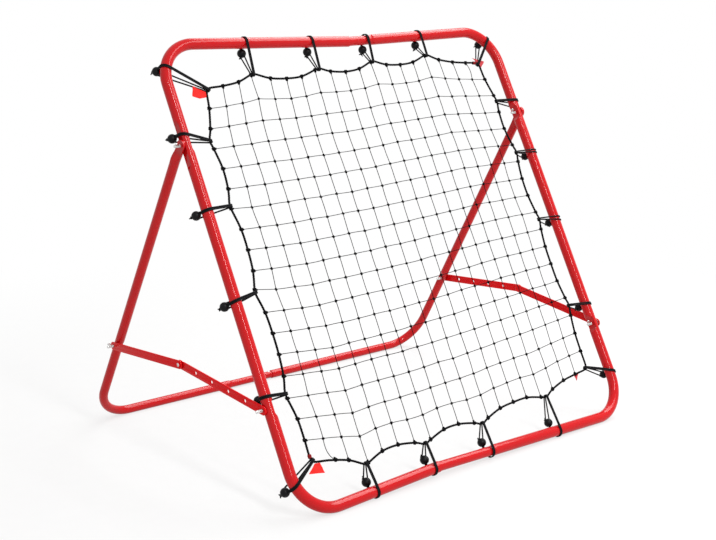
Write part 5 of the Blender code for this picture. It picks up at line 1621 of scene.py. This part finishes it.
def studio_paper():
    """Pale paper floor. To the camera it is white, and greyer only where the object shades it."""
    look = Look("studio_floor", (0.62, 0.62, 0.62, 1.0), 0.9, 0.1)
    spot = look.coordinates()
    look.colours(look.noise(spot, 30.0), (0.3, (0.61, 0.61, 0.61, 1.0)), (0.7, (0.63, 0.63, 0.63, 1.0)))
    glow = look.node("ShaderNodeEmission", Strength=1.0)
    distance = look.through(spot, look.node("ShaderNodeVectorMath", operation="LENGTH"), 0, "Value")
    fade = {"From Min": GLOW_START, "From Max": GLOW_END, "interpolation_type": "SMOOTHSTEP"}
    share = look.math("MULTIPLY", look.spread(distance, FLOOR_GLOW, 1.0, **fade), white_rays(look.tree))
    mixed(look.tree, share, look.shader.outputs["BSDF"], glow.outputs["Emission"], "Material Output")
    return look.material


def stage():
    bpy.ops.mesh.primitive_plane_add(size=FLOOR_SIZE, location=(0, 0, 0))
    floor = bpy.context.object
    floor.name = "studio_floor"
    floor.data.materials.append(studio_paper())


def lights():
    for name, spot, (width, length), power in LAMPS:
        lamp = bpy.data.lights.new(name, "AREA")
        lamp.shape = "RECTANGLE"
        lamp.size = width
        lamp.size_y = length
        lamp.energy = power
        linked(name, lamp).location = spot
    world = bpy.data.worlds.new("studio")
    world.use_nodes = True
    tree = world.node_tree
    dim = tree.nodes["Background"]
    dim.inputs["Strength"].default_value = ROOM_LIGHT
    dim.inputs["Color"].default_value = ROOM_TINT
    white = tree.nodes.new("ShaderNodeBackground")
    white.inputs["Color"].default_value = (1, 1, 1, 1)
    mixed(tree, white_rays(tree), dim.outputs["Background"], white.outputs["Background"], "World Output")
    bpy.context.scene.world = world


def camera():
    data = bpy.data.cameras.new("camera")
    data.sensor_fit = "HORIZONTAL"
    data.sensor_width = SENSOR_WIDTH
    data.lens = FOCAL_PIXELS / PHOTO_WIDTH * SENSOR_WIDTH
    data.clip_start = 0.05
    data.clip_end = 100.0
    item = linked("camera", data)
    item.location = Vector(CAMERA_PLACE) + SHIFT
    item.rotation_euler = (math.pi / 2 - CAMERA_PITCH, 0.0, -CAMERA_YAW)
    bpy.context.scene.camera = item


TUBE_PAINT = red_paint("red_paint", TUBE_RED, 0.28)
# The bars' copy of the paint, lighter and less glossy: painted light.
LIT_BAR_PAINT = red_paint("lit_bar_paint", LIT_BAR_RED, 0.10)
STEEL = zinc_steel()
TWINE = twisted_cord("black_twine", 160.0, math.radians(35))
ROPE = twisted_cord("black_rope", 120.0, math.radians(40))
ELASTIC = braided_elastic()
PLASTIC = black_plastic()
STRAP = woven_strap("red_strap", STRAP_RED)
DULL_STRAP = woven_strap("dull_strap", DULL_RED)
# The strap darkened for the bindings: painted shade.
SHADED_BINDING_STRAP = woven_strap("shaded_strap_binding", SHADED_BINDING_RED)

camera()
front_half("front_tube_left", True)
front_half("front_tube_right", False)
rear_half("rear_tube_left", True)
rear_half("rear_tube_right", False)
braces_and_fasteners()
net()
border_rope()
elastics()
for corner_label, tab_outline in TAB_OUTLINES.items():
    tab(corner_label, tab_outline, DULL_STRAP if corner_label.endswith("right") else STRAP)
binding("bottom_left", "left", NET_CORNERS["bottom_left"][1] + 0.0110)
binding("top_right", "top", NET_CORNERS["top_right"][0] - 0.0135)
stage()
lights()
bpy.context.scene.view_settings.view_transform = "Standard"
